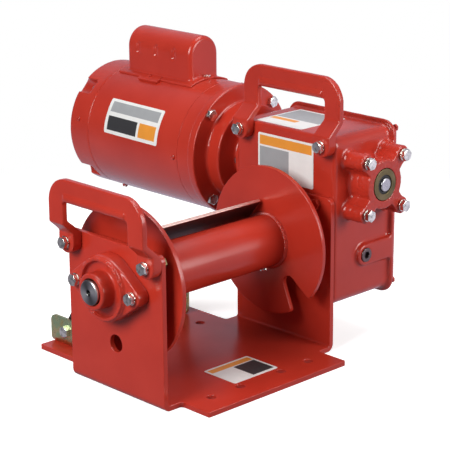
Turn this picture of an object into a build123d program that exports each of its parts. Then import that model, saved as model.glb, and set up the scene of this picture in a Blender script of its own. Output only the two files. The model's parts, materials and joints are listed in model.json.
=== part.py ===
# Portable electric winch: a folded steel frame carries a rope drum between two end plates,
# and a worm gearbox with its motor hangs on the outside of one of them.
# Millimetres. X runs along the drum towards the gearbox, Y towards the motor, Z up.
# The origin is on the floor, midway between the end plates and below the drum axis.

import os
from math import degrees, pi, radians, sqrt, tan

from build123d import *

os.makedirs("parts", exist_ok=True)

# Clearances
bolt_clear = 0.5  # hole over shank, on the diameter
thread_clear = 0.1  # tapped hole over shank, on the diameter
seat_clear = 0.04  # fixed round seat, on the diameter
running_clear = 0.1  # turning shaft in its bearing, on the diameter
part_gap = 0.3  # moving piece beside a fixed one

# Folded frame
plate_t = 6.35
frame_len = 270.0
end_w = 157.0
near_h = 178.0
far_h = 188.0
bend_r = 9.0
tab_inset = 26.0
front_tab = 43.5
rear_tab = 94.0
corner_r = 8.0
tab_corner_r = 2.0
relief_r = 4.0
wide_low = 41.0
wide_step = 8.0
plate_lap = 1.0
base_hole_d = 11.0
base_hole_row = 183.0
base_hole_outer = 154.0
base_hole_inner = 65.0
drain_hole_d = 20.5
drain_hole_z = 60.0

# Drum and its shaft
drum_z = 128.0
shaft_d = 28.575
shaft_out = 37.0
shaft_chamfer = 1.0
centre_drill_d = 7.0
centre_drill_angle = 40.0
flange_d = 180.0
flange_t = 6.0
flange_edge_r = 1.0
outboard_gap = 12.5
gear_gap = 20.5
barrel_d = 63.5
barrel_wall = 7.0
weld_leg = 2.5
slot_angle = 38.0
slot_root_r = 59.0
slot_end_r = 9.5
slot_mouth = 37.0
slot_corner_r = 5.0
anchor_d = 8.0
anchor_head_d = 10.0
anchor_head_h = 1.5
anchor_from_flange = 16.0
anchor_angle = 20.0

# Outboard bearing
bearing_bolt_span = 94.0
bearing_body_r = 38.5
bearing_lobe_r = 11.0
bearing_flange_t = 15.5
bearing_shoulder_r = 36.0
bearing_shoulder_h = 22.0
bearing_recess_r = 31.0
bearing_recess_deep = 6.0
bearing_hub_r = 21.0
bearing_hub_h = 34.0
bearing_edge_r = 2.0
bush_wall = 3.0
bush_lip = 4.0
plate_hole_d = 44.0

# Handles
handle_bolt_span = 133.0
near_handle_drop = 12.0
far_handle_drop = 9.0
handle_pad_t = 13.0
handle_pad_r = 13.0
handle_offset = 18.5
handle_depth = 8.0
handle_half_w = 78.6
handle_leg_w = 24.5
handle_height = 77.5
handle_bar_h = 25.5
handle_corner_r = 29.0
handle_inner_r = 5.0
handle_shoulder_low = 12.0
handle_shoulder_high = 28.0
handle_shoulder_step = 3.0
handle_grip_proud = 2.0
handle_grip_in = 3.0
handle_grip_drop = 1.5

# Fasteners
bolt_d = 7.94
bolt_head = 12.7
bolt_head_h = 5.3
washer_d = 14.5
washer_t = 2.0
washer_split = 1.5
nut_h = 6.8
tap_spare = 1.0
small_d = 6.0
small_head = 10.0
small_head_h = 4.0

# Gearbox
box_rear = 84.0
box_bottom = 55.0
box_top = 259.0
box_wall = 11.0
box_corner_r = 12.0
box_edge_r = 3.0
rim_t = 6.0
rim_lip = 6.0
rim_past = 5.0
gasket_t = 1.0
cover_t = 8.0
cover_edge_r = 3.0
cover_bolt_d = 5.0
cover_bolt_head = 8.0
cover_bolt_head_h = 3.5
cover_bolt_edge = 6.5
cover_bolt_in = 14.0
cover_bearing_wall = 8.0
centre_distance = 72.0
worm_in = 54.0
tooth_module = 2.8
tooth_angle = 20.0
tooth_root_ratio = 1.25
wheel_teeth = 40
backlash = 1.3
wheel_w = 22.0
wheel_hub_d = 54.0
wheel_hub_w = 34.0
wheel_web_w = 10.0
wheel_rim = 7.0
worm_thread_len = 56.0
thread_sink = 0.5
key_w = 6.35
key_len = 28.0
output_bearing_d = 54.0
output_bearing_w = 12.0
output_boss_wall = 9.0
seal_d = 44.0
seal_w = 6.0
worm_journal_d = 20.0
worm_bearing_d = 47.0
worm_bearing_w = 14.0
worm_boss_r = 31.0
worm_boss_lip = 4.0
worm_boss_len = 14.0
worm_cap_t = 16.0
worm_cap_span = 62.0
worm_cap_lobe_r = 11.0
worm_cap_waist_r = 30.0
worm_cap_arm_w = 19.0
worm_cap_edge_r = 1.5
worm_cap_bolt_in = 9.0
worm_cap_bore = 38.0
worm_ring_w = 6.0
seal_back = 1.0
worm_seal_d = 23.0
worm_end_d = 16.0
worm_end_out = 1.5
worm_end_chamfer = 0.8
worm_ring_in = 0.3
plug_in = 50.0
plug_d = 17.0
plug_thread_d = 14.0
plug_chamfer = 0.5
plug_hex = 8.0
plug_socket = 5.0
plug_h = 1.2
plug_depth = 9.0
plug_z = 109.5
plug_boss_d = 27.0
housing_bolt_y = 55.0
housing_bolt_dz = 50.0
wall_bolt_in = 10.0

# Motor and its adapter
adapter_base_r = 47.0
adapter_base_t = 11.0
adapter_neck_r = 33.0
adapter_collar_in = 22.6
adapter_collar_len = 21.0
adapter_collar_wall = 8.0
adapter_flange_over = 1.5
adapter_flange_t = 12.0
adapter_len = 59.0
adapter_bore_r = 26.0
adapter_stop_r = 21.5
adapter_stop_t = 8.0
adapter_bolt_r = 40.0
adapter_bolt_in = 9.0
face_bolt_edge = 6.5
motor_d = 165.0
motor_shell_t = 2.0
drive_bell_t = 20.0
shell_len = 173.0
rear_bell_t = 54.0
bell_wall = 8.0
bell_rim = 17.0
bell_face_in = 16.5
motor_shaft_d = 16.0
motor_bearing_d = 40.0
motor_bearing_w = 12.0
shaft_room = 1.0
bell_hub_r = 27.0
stator_id = 92.0
stator_len = 40.0
stator_slots = 24
stator_slot_w = 6.0
stator_slot_deep = 16.0
air_gap = 0.6
winding_overhang = 15.0
winding_in = 2.0
through_bolt_d = 5.0
through_bolt_edge = 7.5
through_head = 8.0
through_head_h = 4.0
through_seat = 16.0
through_pocket_d = 22.0
pocket_out = 3.0
coupling_d = 46.0
coupling_len = 38.0
coupling_start = 9.0
fan_r = 60.0
fan_hub_r = 16.0
fan_w = 14.0
fan_back = 14.0
fan_blades = 8
fan_blade_t = 3.0
hood_w = 50.0
hood_len = 122.0
hood_height = 54.5
hood_wall = 2.0
hood_edge_r = 6.0
hood_foot_w = 65.0
hood_foot_len = 141.0
hood_foot_t = 2.5
hood_from_bell = 26.0
hood_screw_in = 5.0
hood_screw_d = 4.0
hood_screw_head = 8.0
hood_screw_head_h = 2.5
capacitor_d = 34.0
capacitor_len = 88.0

# Rope pressure bar
ear_inset = 45.0
ear_t = 4.0
ear_front = 127.0
ear_top = 41.0
ear_foot = 30.0
ear_bend_r = 7.0
ear_corner_r = 8.0
ear_bolt_back = 12.5
pivot_y = 144.0
pivot_z = 25.0
pivot_d = 8.0
pivot_head = 13.0
pivot_head_h = 5.0
pivot_nut_h = 6.5
arm_t = 5.0
arm_w = 18.0
arm_knee_y = 74.0
arm_knee_z = 132.0
bar_low_y = 26.5
bar_w = 31.5
bar_lean = 40.0
bar_t = 4.0
bar_gap = 3.5
arm_end_r = 4.0
arm_end_short = 14.0
bar_edge_r = 0.8
bar_end_gap = 4.0
press_bolt_d = 8.0

# Places worked out from the sizes above
near_x = -frame_len / 2
far_x = frame_len / 2
near_in = near_x + plate_t
far_in = far_x - plate_t
base_front = -end_w / 2 - front_tab
base_rear = end_w / 2 + rear_tab
flange_a_x = near_in + outboard_gap
barrel_x0 = flange_a_x + flange_t
flange_b_x = far_in - gear_gap - flange_t
barrel_x1 = flange_b_x
shaft_end_x = near_x - shaft_out
worm_x = far_x + worm_in
worm_z = drum_z + centre_distance
box_front = -end_w / 2
box_depth = worm_in + worm_cap_span / 2 + worm_cap_lobe_r + rim_past
box_end_x = far_x + box_depth
cover_x = box_end_x + gasket_t
cover_end_x = cover_x + cover_t
wheel_r = tooth_module * wheel_teeth / 2
worm_r = centre_distance - wheel_r
thread_pitch = pi * tooth_module
tooth_root = tooth_root_ratio * tooth_module
worm_root_r = worm_r - tooth_root
adapter_end = box_rear + adapter_len
bell_end = adapter_end + drive_bell_t
shell_end = bell_end + shell_len
motor_end = shell_end + rear_bell_t
motor_r = motor_d / 2
adapter_flange_r = motor_r + adapter_flange_over
adapter_collar_r = adapter_flange_r - adapter_collar_in
face_bolt_pcd = motor_d - 2 * face_bolt_edge
through_bolt_pcd = motor_d - 2 * through_bolt_edge
bell_face_r = motor_r - bell_face_in
ear_x = far_x - ear_inset
worm_cap_y = box_front - worm_boss_len - worm_cap_t
wide_y = end_w / 2 + wide_step
near_handle_z = near_h - near_handle_drop
far_handle_z = box_top - far_handle_drop
bar_x0 = barrel_x0 + bar_end_gap
bar_x1 = barrel_x1 - bar_end_gap

# Planes: outward from the outboard plate, into the gearbox, along the worm, and on the cover
outboard_plane = Plane((near_x, 0, drum_z), x_dir=(0, -1, 0), z_dir=(-1, 0, 0))
gear_plane = Plane((far_x, 0, drum_z), x_dir=(0, 1, 0), z_dir=(1, 0, 0))
worm_plane = Plane((worm_x, 0, worm_z), x_dir=(0, 0, 1), z_dir=(0, 1, 0))
front_plane = Plane((worm_x, worm_cap_y, worm_z), x_dir=(1, 0, 0), z_dir=(0, -1, 0))


def add_bolts(plane, points, shank_d, shank_len, head, head_h, gap=0.0):
    """Hex-head bolts whose heads sit on a plane, or a washer's height above it."""
    with BuildSketch(plane.offset(gap)) as profile:
        with Locations(*points):
            RegularPolygon(head / 2, 6, major_radius=False)
    extrude(profile.sketch, amount=head_h)
    with BuildSketch(plane.offset(gap)) as profile:
        with Locations(*points):
            Circle(shank_d / 2)
    extrude(profile.sketch, amount=-shank_len)


def add_nuts(plane, points, thread_d, across, height):
    """Hex nuts that stand on a plane."""
    with BuildSketch(plane) as profile:
        with Locations(*points):
            RegularPolygon(across / 2, 6, major_radius=False)
            Circle((thread_d + thread_clear) / 2, mode=Mode.SUBTRACT)
    extrude(profile.sketch, amount=height)


def add_washers(plane, points, outer_d, thread_d, height, split):
    """Spring washers that lie on a plane, each cut through on one side."""
    with BuildSketch(plane) as profile:
        with Locations(*points):
            Circle(outer_d / 2)
            Circle((thread_d + bolt_clear) / 2, mode=Mode.SUBTRACT)
            Rectangle(outer_d, split, align=(Align.MIN, Align.CENTER), mode=Mode.SUBTRACT)
    extrude(profile.sketch, amount=height)


def add_ring(plane, outer_d, inner_d, width):
    """Plain ring that stands on a plane."""
    with BuildSketch(plane) as profile:
        Circle(outer_d / 2)
        Circle(inner_d / 2, mode=Mode.SUBTRACT)
    extrude(profile.sketch, amount=width)


def cut_holes(plane, points, hole_d, depth):
    """Round holes cut from a plane along its normal."""
    with BuildSketch(plane) as profile:
        with Locations(*points):
            Circle(hole_d / 2)
    extrude(profile.sketch, amount=depth, mode=Mode.SUBTRACT)


def save(builder, name):
    """Label a finished piece and write it as its own file."""
    builder.part.label = name
    export_step(builder.part, f"parts/{name}.step")


# Bolt places, as pairs on the planes above
bearing_points = [(-bearing_bolt_span / 2, 0), (bearing_bolt_span / 2, 0)]
handle_points = [(-handle_bolt_span / 2, 0), (handle_bolt_span / 2, 0)]
housing_points = [
    (y, z)
    for y in (-housing_bolt_y, housing_bolt_y)
    for z in (-housing_bolt_dz, housing_bolt_dz)
]
cap_points = [
    (x, z)
    for x in (-worm_cap_span / 2, worm_cap_span / 2)
    for z in (-worm_cap_span / 2, worm_cap_span / 2)
]

near_bolts = [
    (y, z)
    for span, z in ((bearing_bolt_span, drum_z), (handle_bolt_span, near_handle_z))
    for y in (-span / 2, span / 2)
]
ear_mid = ear_x - ear_t / 2 - ear_foot / 2
ear_points = [(x, base_rear - ear_bolt_back) for x in (-ear_mid, ear_mid)]

# Folded frame: one plate bent up at both ends, with tabs in front and behind
with BuildPart() as base_frame:
    with BuildSketch(Plane.XZ) as fold:
        with Locations((0, plate_t / 2)):
            Rectangle(frame_len, plate_t)
        with Locations((near_x + plate_t / 2, near_h / 2)):
            Rectangle(plate_t, near_h)
        with Locations((far_x - plate_t / 2, far_h / 2)):
            Rectangle(plate_t, far_h)
        low = fold.vertices().group_by(Axis.Y)[0]
        fillet(low, bend_r)
        inside = fold.vertices().filter_by(
            lambda v: abs(v.Y - plate_t) < 0.01 and abs(v.X) < far_x - plate_t / 2
        )
        fillet(inside, bend_r - plate_t)
    extrude(amount=end_w / 2, both=True)
    for height in (near_h, far_h):
        tops = base_frame.edges().filter_by(Axis.X)
        fillet(tops.filter_by_position(Axis.Z, height - 0.1, height + 0.1), corner_r)
    with BuildSketch(Plane.YZ.offset(far_in)):
        with BuildLine():
            Polyline(
                (end_w / 2 - plate_lap, wide_low),
                (end_w / 2, wide_low),
                (wide_y, wide_low + wide_step),
                (wide_y, far_h - corner_r),
                (end_w / 2 - plate_lap, far_h - corner_r),
                close=True,
            )
        make_face()
    extrude(amount=plate_t)
    with BuildSketch(Plane.XY):
        with Locations((0, (base_front + base_rear) / 2)):
            RectangleRounded(frame_len - 2 * tab_inset, base_rear - base_front, tab_corner_r)
    extrude(amount=plate_t)
    notches = base_frame.edges().filter_by(Axis.Z).filter_by(
        lambda e: abs(abs(e.center().Y) - end_w / 2) < 0.01 and e.center().Z < plate_t
    )
    fillet(notches, relief_r)
    with Locations(Plane.XY.offset(plate_t)):
        with GridLocations(base_hole_outer, base_hole_row, 2, 2):
            Hole(base_hole_d / 2, plate_t)
        with GridLocations(base_hole_inner, base_hole_row, 2, 2):
            Hole(base_hole_d / 2, plate_t)
    near_face = Plane((near_x, 0, 0), x_dir=(0, -1, 0), z_dir=(-1, 0, 0))
    cut_holes(near_face, [(0, drum_z)], plate_hole_d, -plate_t)
    cut_holes(near_face, [(0, drain_hole_z)], drain_hole_d, -plate_t)
    cut_holes(near_face, near_bolts, bolt_d + bolt_clear, -plate_t)
    cut_holes(gear_plane, [(0, 0)], plate_hole_d, -plate_t)
    cut_holes(gear_plane, housing_points, bolt_d + bolt_clear, -plate_t)
    cut_holes(Plane.XY, ear_points, press_bolt_d + bolt_clear, plate_t)
save(base_frame, "base_frame")

# Outboard bearing: two-bolt flange, a raised rim and a hub in its recess
with BuildPart() as bearing_housing:
    with BuildSketch(outboard_plane):
        Circle(bearing_body_r)
        with Locations(*bearing_points):
            Circle(bearing_lobe_r)
        make_hull()
    extrude(amount=bearing_flange_t)
    with BuildSketch(outboard_plane.offset(bearing_flange_t)):
        Circle(bearing_body_r)
    with BuildSketch(outboard_plane.offset(bearing_shoulder_h)):
        Circle(bearing_shoulder_r)
    loft()
    recess_plane = outboard_plane.offset(bearing_shoulder_h)
    cut_holes(recess_plane, [(0, 0)], 2 * bearing_recess_r, -bearing_recess_deep)
    with BuildSketch(outboard_plane):
        Circle(bearing_hub_r)
    extrude(amount=bearing_hub_h)
    rims = bearing_housing.edges().filter_by(GeomType.CIRCLE).group_by(Axis.X)[0]
    fillet(rims, bearing_edge_r)
    bush_d = shaft_d + 2 * bush_wall
    cut_holes(outboard_plane, [(0, 0)], bush_d + seat_clear, bearing_hub_h - bush_lip)
    cut_holes(outboard_plane, [(0, 0)], shaft_d + shaft_room, bearing_hub_h)
    cut_holes(outboard_plane, bearing_points, bolt_d + bolt_clear, bearing_flange_t)
save(bearing_housing, "bearing_housing")

with BuildPart() as outboard_bush:
    add_ring(outboard_plane, bush_d, shaft_d + running_clear, bearing_hub_h - bush_lip)
save(outboard_bush, "outboard_bush")

nut_face = Plane((near_in, 0, 0), x_dir=(0, 1, 0), z_dir=(1, 0, 0))
with BuildPart() as bearing_bolts:
    reach = bearing_flange_t + washer_t + plate_t + nut_h
    seat = outboard_plane.offset(bearing_flange_t)
    add_bolts(seat, bearing_points, bolt_d, reach, bolt_head, bolt_head_h, washer_t)
save(bearing_bolts, "bearing_bolts")

with BuildPart() as end_plate_nuts:
    add_nuts(nut_face, near_bolts, bolt_d, bolt_head, nut_h)
save(end_plate_nuts, "end_plate_nuts")


def add_handle(origin, outward):
    """Carrying handle about the middle of its bolt line; its loop leaves the pads along outward."""
    face = Plane(origin, x_dir=(0, outward, 0), z_dir=(outward, 0, 0))
    side = Plane(origin, x_dir=(outward, 0, 0), z_dir=(0, -outward, 0))
    top = handle_height
    inner = handle_half_w - handle_leg_w
    back = handle_offset + handle_depth
    grip_low = top - handle_bar_h
    pad_x = handle_bolt_span / 2
    with BuildSketch(side) as profile:
        with BuildLine():
            Polyline(
                (0, -handle_pad_r),
                (0, handle_shoulder_low),
                (handle_offset, handle_shoulder_high),
                (handle_offset, top),
                (back, top),
                (back, handle_shoulder_high - handle_shoulder_step),
                (handle_pad_t, handle_shoulder_low),
                (handle_pad_t, -handle_pad_r),
                close=True,
            )
        make_face()
    extrude(profile.sketch, amount=pad_x + handle_pad_r, both=True)
    with BuildSketch(face) as outline:
        with Locations((0, top / 2)):
            Rectangle(2 * handle_half_w, top)
        fillet(outline.vertices().group_by(Axis.Y)[-1], handle_corner_r)
        with Locations((0, grip_low / 2)):
            Rectangle(2 * inner, grip_low, mode=Mode.SUBTRACT)
        corners = outline.vertices().filter_by(lambda v: abs(v.Y - grip_low) < 0.01)
        fillet(corners, handle_inner_r)
        for turn in (-1, 1):
            Polygon(
                (turn * inner, handle_shoulder_high),
                (turn * handle_half_w, handle_shoulder_high),
                (turn * (pad_x + handle_pad_r), 0),
                (turn * (pad_x - handle_pad_r), 0),
                align=None,
            )
            with Locations((turn * pad_x, 0)):
                Circle(handle_pad_r)
    extrude(outline.sketch, amount=back, dir=face.z_dir, mode=Mode.INTERSECT)
    grip_r = handle_depth / 2 + handle_grip_proud
    grip_z = grip_low + grip_r - handle_grip_drop
    grip_plane = Plane(
        Vector(origin) + Vector(outward * (handle_offset + handle_depth / 2), 0, grip_z), z_dir=(0, 1, 0)
    )
    with BuildSketch(grip_plane) as profile:
        Circle(grip_r)
    extrude(profile.sketch, amount=inner - handle_grip_in, both=True)
    cut_holes(face, handle_points, bolt_d + bolt_clear, handle_pad_t)


# Outboard handle: its loop leans away from the end plate
with BuildPart() as outboard_handle:
    add_handle((near_x, 0, near_handle_z), -1)
save(outboard_handle, "outboard_handle")

outboard_pad = Plane((near_x - handle_pad_t, 0, near_handle_z), x_dir=(0, -1, 0), z_dir=(-1, 0, 0))
with BuildPart() as outboard_handle_bolts:
    reach = handle_pad_t + washer_t + plate_t + nut_h
    add_bolts(outboard_pad, handle_points, bolt_d, reach, bolt_head, bolt_head_h, washer_t)
save(outboard_handle_bolts, "outboard_handle_bolts")

# Drum: barrel tube with fillet welds between two flanges, all carried on the shaft
flange_a_plane = Plane((flange_a_x, 0, drum_z), x_dir=(0, 1, 0), z_dir=(1, 0, 0))
barrel_r = barrel_d / 2
flange_r = flange_d / 2

with BuildPart() as drum_flange_outboard:
    add_ring(flange_a_plane, flange_d, shaft_d + seat_clear, flange_t)
    rims = drum_flange_outboard.edges().filter_by(GeomType.CIRCLE).sort_by(SortBy.RADIUS)[-2:]
    fillet(rims, flange_edge_r)
save(drum_flange_outboard, "drum_flange_outboard")

slot_dir = Vector(0, 0, -1).rotate(Axis.X, -slot_angle)
slot_plane = Plane((flange_b_x, 0, drum_z), x_dir=slot_dir, z_dir=(1, 0, 0))
with BuildSketch(slot_plane) as rope_slot:
    with Locations((slot_root_r, 0)):
        Circle(slot_end_r)
    with Locations((flange_r, 0)):
        Rectangle(slot_end_r, slot_mouth, align=(Align.MIN, Align.CENTER))
    make_hull()

with BuildPart() as drum_flange_gear:
    with BuildSketch(slot_plane) as slotted_disc:
        Circle(flange_r)
        add(rope_slot.sketch_local, mode=Mode.SUBTRACT)
        fillet(slotted_disc.vertices().sort_by(SortBy.DISTANCE)[-2:], slot_corner_r)
        Circle((shaft_d + seat_clear) / 2, mode=Mode.SUBTRACT)
    extrude(amount=flange_t)
    rims = drum_flange_gear.edges().filter_by(GeomType.CIRCLE).sort_by(SortBy.RADIUS)[-2:]
    fillet(rims, flange_edge_r)
save(drum_flange_gear, "drum_flange_gear")

anchor_x = barrel_x1 - anchor_from_flange
anchor_dir = Vector(0, 0, -1).rotate(Axis.X, -anchor_angle)
anchor_plane = Plane(Vector(anchor_x, 0, drum_z) + anchor_dir * barrel_r, z_dir=anchor_dir)

with BuildPart() as drum_barrel:
    barrel_plane = Plane((barrel_x0, 0, drum_z), x_dir=(0, 1, 0), z_dir=(1, 0, 0))
    barrel_end = Plane((barrel_x1, 0, drum_z), x_dir=(0, -1, 0), z_dir=(-1, 0, 0))
    with BuildSketch(barrel_plane):
        Circle(barrel_r)
    extrude(amount=barrel_x1 - barrel_x0)
    for end_plane in (barrel_plane, barrel_end):
        with BuildSketch(end_plane):
            Circle(barrel_r + weld_leg)
        extrude(amount=weld_leg, taper=45)
    cut_holes(barrel_plane, [(0, 0)], barrel_d - 2 * barrel_wall, barrel_x1 - barrel_x0)
    cut_holes(anchor_plane, [(0, 0)], anchor_d + thread_clear, -2 * barrel_wall)
save(drum_barrel, "drum_barrel")

with BuildPart() as rope_anchor_screw:
    with BuildSketch(anchor_plane):
        Circle(anchor_head_d / 2)
    extrude(amount=anchor_head_h)
    with BuildSketch(anchor_plane.offset(anchor_head_h)):
        RegularPolygon(anchor_d / 3, 6)
    extrude(amount=-anchor_head_h / 2, mode=Mode.SUBTRACT)
    with BuildSketch(anchor_plane):
        Circle(anchor_d / 2)
    extrude(amount=-barrel_wall)
save(rope_anchor_screw, "rope_anchor_screw")

cover_bearing_x = cover_end_x - cover_bearing_wall - output_bearing_w
shaft_far_x = cover_bearing_x + output_bearing_w
key_seat = key_w / 2
key_plane = Plane((worm_x, 0, drum_z + shaft_d / 2 - key_seat))

with BuildPart() as drum_shaft:
    shaft_plane = Plane((shaft_end_x, 0, drum_z), x_dir=(0, 1, 0), z_dir=(1, 0, 0))
    with BuildSketch(shaft_plane):
        Circle(shaft_d / 2)
    extrude(amount=shaft_far_x - shaft_end_x - part_gap)
    end_rims = drum_shaft.edges().filter_by(GeomType.CIRCLE)
    chamfer(end_rims, shaft_chamfer)
    with BuildSketch(shaft_plane):
        Circle(centre_drill_d / 2)
    extrude(amount=centre_drill_d / 2, taper=centre_drill_angle, mode=Mode.SUBTRACT)
    with BuildSketch(key_plane):
        Rectangle(key_len + seat_clear, key_w + seat_clear)
    extrude(amount=key_w, mode=Mode.SUBTRACT)
save(drum_shaft, "drum_shaft")

with BuildPart() as wheel_key:
    with BuildSketch(key_plane):
        Rectangle(key_len, key_w)
    extrude(amount=key_w)
save(wheel_key, "wheel_key")

# Worm wheel: trapezoid teeth slanted by the worm's lead angle
flank = tan(radians(tooth_angle))
half_tooth = (thread_pitch - backlash) / 4
tip_half = half_tooth - tooth_module * flank
root_half = half_tooth + tooth_root * flank
wheel_tip_r = wheel_r + tooth_module
wheel_root_r = wheel_r - tooth_root
lead_slope = thread_pitch / (2 * pi * worm_r)
tooth_slant = degrees(wheel_w / 2 * lead_slope / wheel_r)


def wheel_outline():
    """Closed outline of the toothed rim, one tooth pointing straight up."""
    points = []
    for n in range(wheel_teeth):
        middle = pi / 2 + 2 * pi * n / wheel_teeth
        for radius, half in (
            (wheel_root_r, -root_half),
            (wheel_tip_r, -tip_half),
            (wheel_tip_r, tip_half),
            (wheel_root_r, root_half),
        ):
            turn = degrees(middle + half / radius)
            points.append(Vector(radius, 0).rotate(Axis.Z, turn))
    return points


with BuildPart() as worm_wheel:
    for side in (-1, 1):
        rim_dir = Vector(0, 1, 0).rotate(Axis.X, side * tooth_slant)
        with BuildSketch(Plane((worm_x + side * wheel_w / 2, 0, drum_z), x_dir=rim_dir, z_dir=(1, 0, 0))):
            with BuildLine():
                Polyline(*wheel_outline(), close=True)
            make_face()
    loft(ruled=True)
    for side in (-1, 1):
        web_plane = Plane((worm_x + side * wheel_w / 2, 0, drum_z), x_dir=(0, side, 0), z_dir=(side, 0, 0))
        cut_holes(web_plane, [(0, 0)], 2 * (wheel_root_r - wheel_rim), (wheel_web_w - wheel_w) / 2)
    hub_plane = Plane((worm_x - wheel_hub_w / 2, 0, drum_z), x_dir=(0, 1, 0), z_dir=(1, 0, 0))
    with BuildSketch(hub_plane):
        Circle(wheel_hub_d / 2)
    extrude(amount=wheel_hub_w)
    cut_holes(hub_plane, [(0, 0)], shaft_d + seat_clear, wheel_hub_w)
    with BuildSketch(hub_plane):
        with Locations((0, shaft_d / 2)):
            Rectangle(key_w + seat_clear, key_w + seat_clear)
    extrude(amount=wheel_hub_w, mode=Mode.SUBTRACT)
save(worm_wheel, "worm_wheel")

# Gear housing: open casting, with a proud rim, and bosses for the output bearing, the worm and the oil plug
box_mid_y = (box_front + box_rear) / 2
box_mid_z = (box_bottom + box_top) / 2
box_w = box_rear - box_front
box_h = box_top - box_bottom
box_plane = Plane((far_x, box_mid_y, box_mid_z), x_dir=(0, 1, 0), z_dir=(1, 0, 0))
boss_front = box_front - worm_boss_len
worm_front = Plane((worm_x, boss_front, worm_z), x_dir=(1, 0, 0), z_dir=(0, -1, 0))
worm_rear = Plane((worm_x, box_rear, worm_z), x_dir=(-1, 0, 0), z_dir=(0, 1, 0))
handle_tap = Plane((far_x, 0, far_handle_z), x_dir=(0, 1, 0), z_dir=(1, 0, 0))
output_boss_h = seal_w + output_bearing_w
plug_plane = Plane((far_x + plug_in, box_front, plug_z), x_dir=(1, 0, 0), z_dir=(0, -1, 0))
drain_plane = Plane((worm_x, 0, box_bottom), x_dir=(1, 0, 0), z_dir=(0, 0, -1))
adapter_points = [(0, adapter_bolt_r), (adapter_bolt_r, 0), (0, -adapter_bolt_r)]
cover_points = [
    (y, z)
    for y in (cover_bolt_edge - box_w / 2, 0, box_w / 2 - cover_bolt_edge)
    for z in (cover_bolt_edge - box_h / 2, 0, box_h / 2 - cover_bolt_edge)
    if (y, z) != (0, 0)
]


def star_outline():
    """Four-lobed outline of the worm's end boss and cap, on the sketch in progress."""
    Circle(worm_cap_waist_r)
    for turn in (-45, 45):
        Rectangle(worm_cap_span * sqrt(2), worm_cap_arm_w, rotation=turn)
    with Locations(*cap_points):
        Circle(worm_cap_lobe_r)


with BuildPart() as gear_housing:
    with BuildSketch(box_plane):
        RectangleRounded(box_w, box_h, box_corner_r)
    extrude(amount=box_depth)
    fillet(gear_housing.faces().sort_by(Axis.X)[0].edges(), box_edge_r)
    with BuildSketch(worm_front):
        star_outline()
    extrude(amount=-worm_boss_len)
    with BuildSketch(box_plane.offset(box_depth - rim_t)):
        RectangleRounded(box_w + 2 * rim_lip, box_h + 2 * rim_lip, box_corner_r + rim_lip)
    extrude(amount=rim_t)
    with BuildSketch(plug_plane):
        Circle(plug_boss_d / 2)
        Rectangle(box_depth - plug_in, plug_boss_d, align=(Align.MIN, Align.CENTER))
    extrude(amount=rim_lip)
    with BuildSketch(box_plane.offset(box_wall)):
        Rectangle(box_w - 2 * box_wall, box_h - 2 * box_wall)
    extrude(amount=box_depth - box_wall, mode=Mode.SUBTRACT)
    with BuildSketch(gear_plane):
        Circle(output_bearing_d / 2 + output_boss_wall)
    extrude(amount=output_boss_h)
    with BuildSketch(worm_rear):
        Circle(worm_boss_r)
    extrude(amount=-worm_bearing_w - worm_boss_lip)
    cut_holes(gear_plane, [(0, 0)], seal_d + seat_clear, seal_w)
    cut_holes(gear_plane.offset(seal_w), [(0, 0)], output_bearing_d + seat_clear, output_bearing_w)
    for seat_plane in (worm_front, worm_rear):
        cut_holes(seat_plane, [(0, 0)], worm_bearing_d + seat_clear, -worm_bearing_w)
        cut_holes(seat_plane, [(0, 0)], worm_cap_bore, -worm_boss_len - box_wall)
    cut_holes(worm_front, cap_points, bolt_d + thread_clear, -worm_cap_bolt_in)
    cut_holes(gear_plane, housing_points, bolt_d + thread_clear, wall_bolt_in)
    cut_holes(handle_tap, handle_points, bolt_d + thread_clear, wall_bolt_in)
    cut_holes(worm_rear, adapter_points, small_d + thread_clear, -adapter_bolt_in)
    cut_holes(box_plane.offset(box_depth), cover_points, cover_bolt_d + thread_clear, -cover_bolt_in)
    cut_holes(plug_plane.offset(rim_lip), [(0, 0)], plug_thread_d + thread_clear, -rim_lip - box_wall)
    cut_holes(drain_plane, [(0, 0)], plug_thread_d + thread_clear, -box_wall)
save(gear_housing, "gear_housing")

with BuildPart() as cover_gasket:
    with BuildSketch(box_plane.offset(box_depth)):
        RectangleRounded(box_w, box_h, box_corner_r)
        Rectangle(box_w - 2 * box_wall, box_h - 2 * box_wall, mode=Mode.SUBTRACT)
        with Locations(*cover_points):
            Circle((cover_bolt_d + bolt_clear) / 2, mode=Mode.SUBTRACT)
    extrude(amount=gasket_t)
save(cover_gasket, "cover_gasket")

cover_plane = box_plane.offset(box_depth + gasket_t)
cover_bearing = Plane((cover_bearing_x, 0, drum_z), x_dir=(0, 1, 0), z_dir=(1, 0, 0))
with BuildPart() as gear_cover:
    with BuildSketch(cover_plane):
        RectangleRounded(box_w, box_h, box_corner_r)
    extrude(amount=cover_t)
    fillet(gear_cover.faces().sort_by(Axis.X)[-1].edges(), cover_edge_r)
    with BuildSketch(cover_bearing):
        Circle(output_bearing_d / 2 + output_boss_wall)
    extrude(amount=output_bearing_w + cover_bearing_wall)
    cut_holes(cover_bearing, [(0, 0)], output_bearing_d + seat_clear, output_bearing_w)
    cut_holes(cover_plane, cover_points, cover_bolt_d + bolt_clear, cover_t)
save(gear_cover, "gear_cover")

with BuildPart() as cover_bolts:
    reach = cover_t + gasket_t + cover_bolt_in - tap_spare
    seat = cover_plane.offset(cover_t)
    add_bolts(seat, cover_points, cover_bolt_d, reach, cover_bolt_head, cover_bolt_head_h)
save(cover_bolts, "cover_bolts")

with BuildPart() as housing_bolts:
    seat = Plane((far_in, 0, drum_z), x_dir=(0, -1, 0), z_dir=(-1, 0, 0))
    add_bolts(seat, housing_points, bolt_d, plate_t + wall_bolt_in - tap_spare, bolt_head, bolt_head_h)
save(housing_bolts, "housing_bolts")

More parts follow.
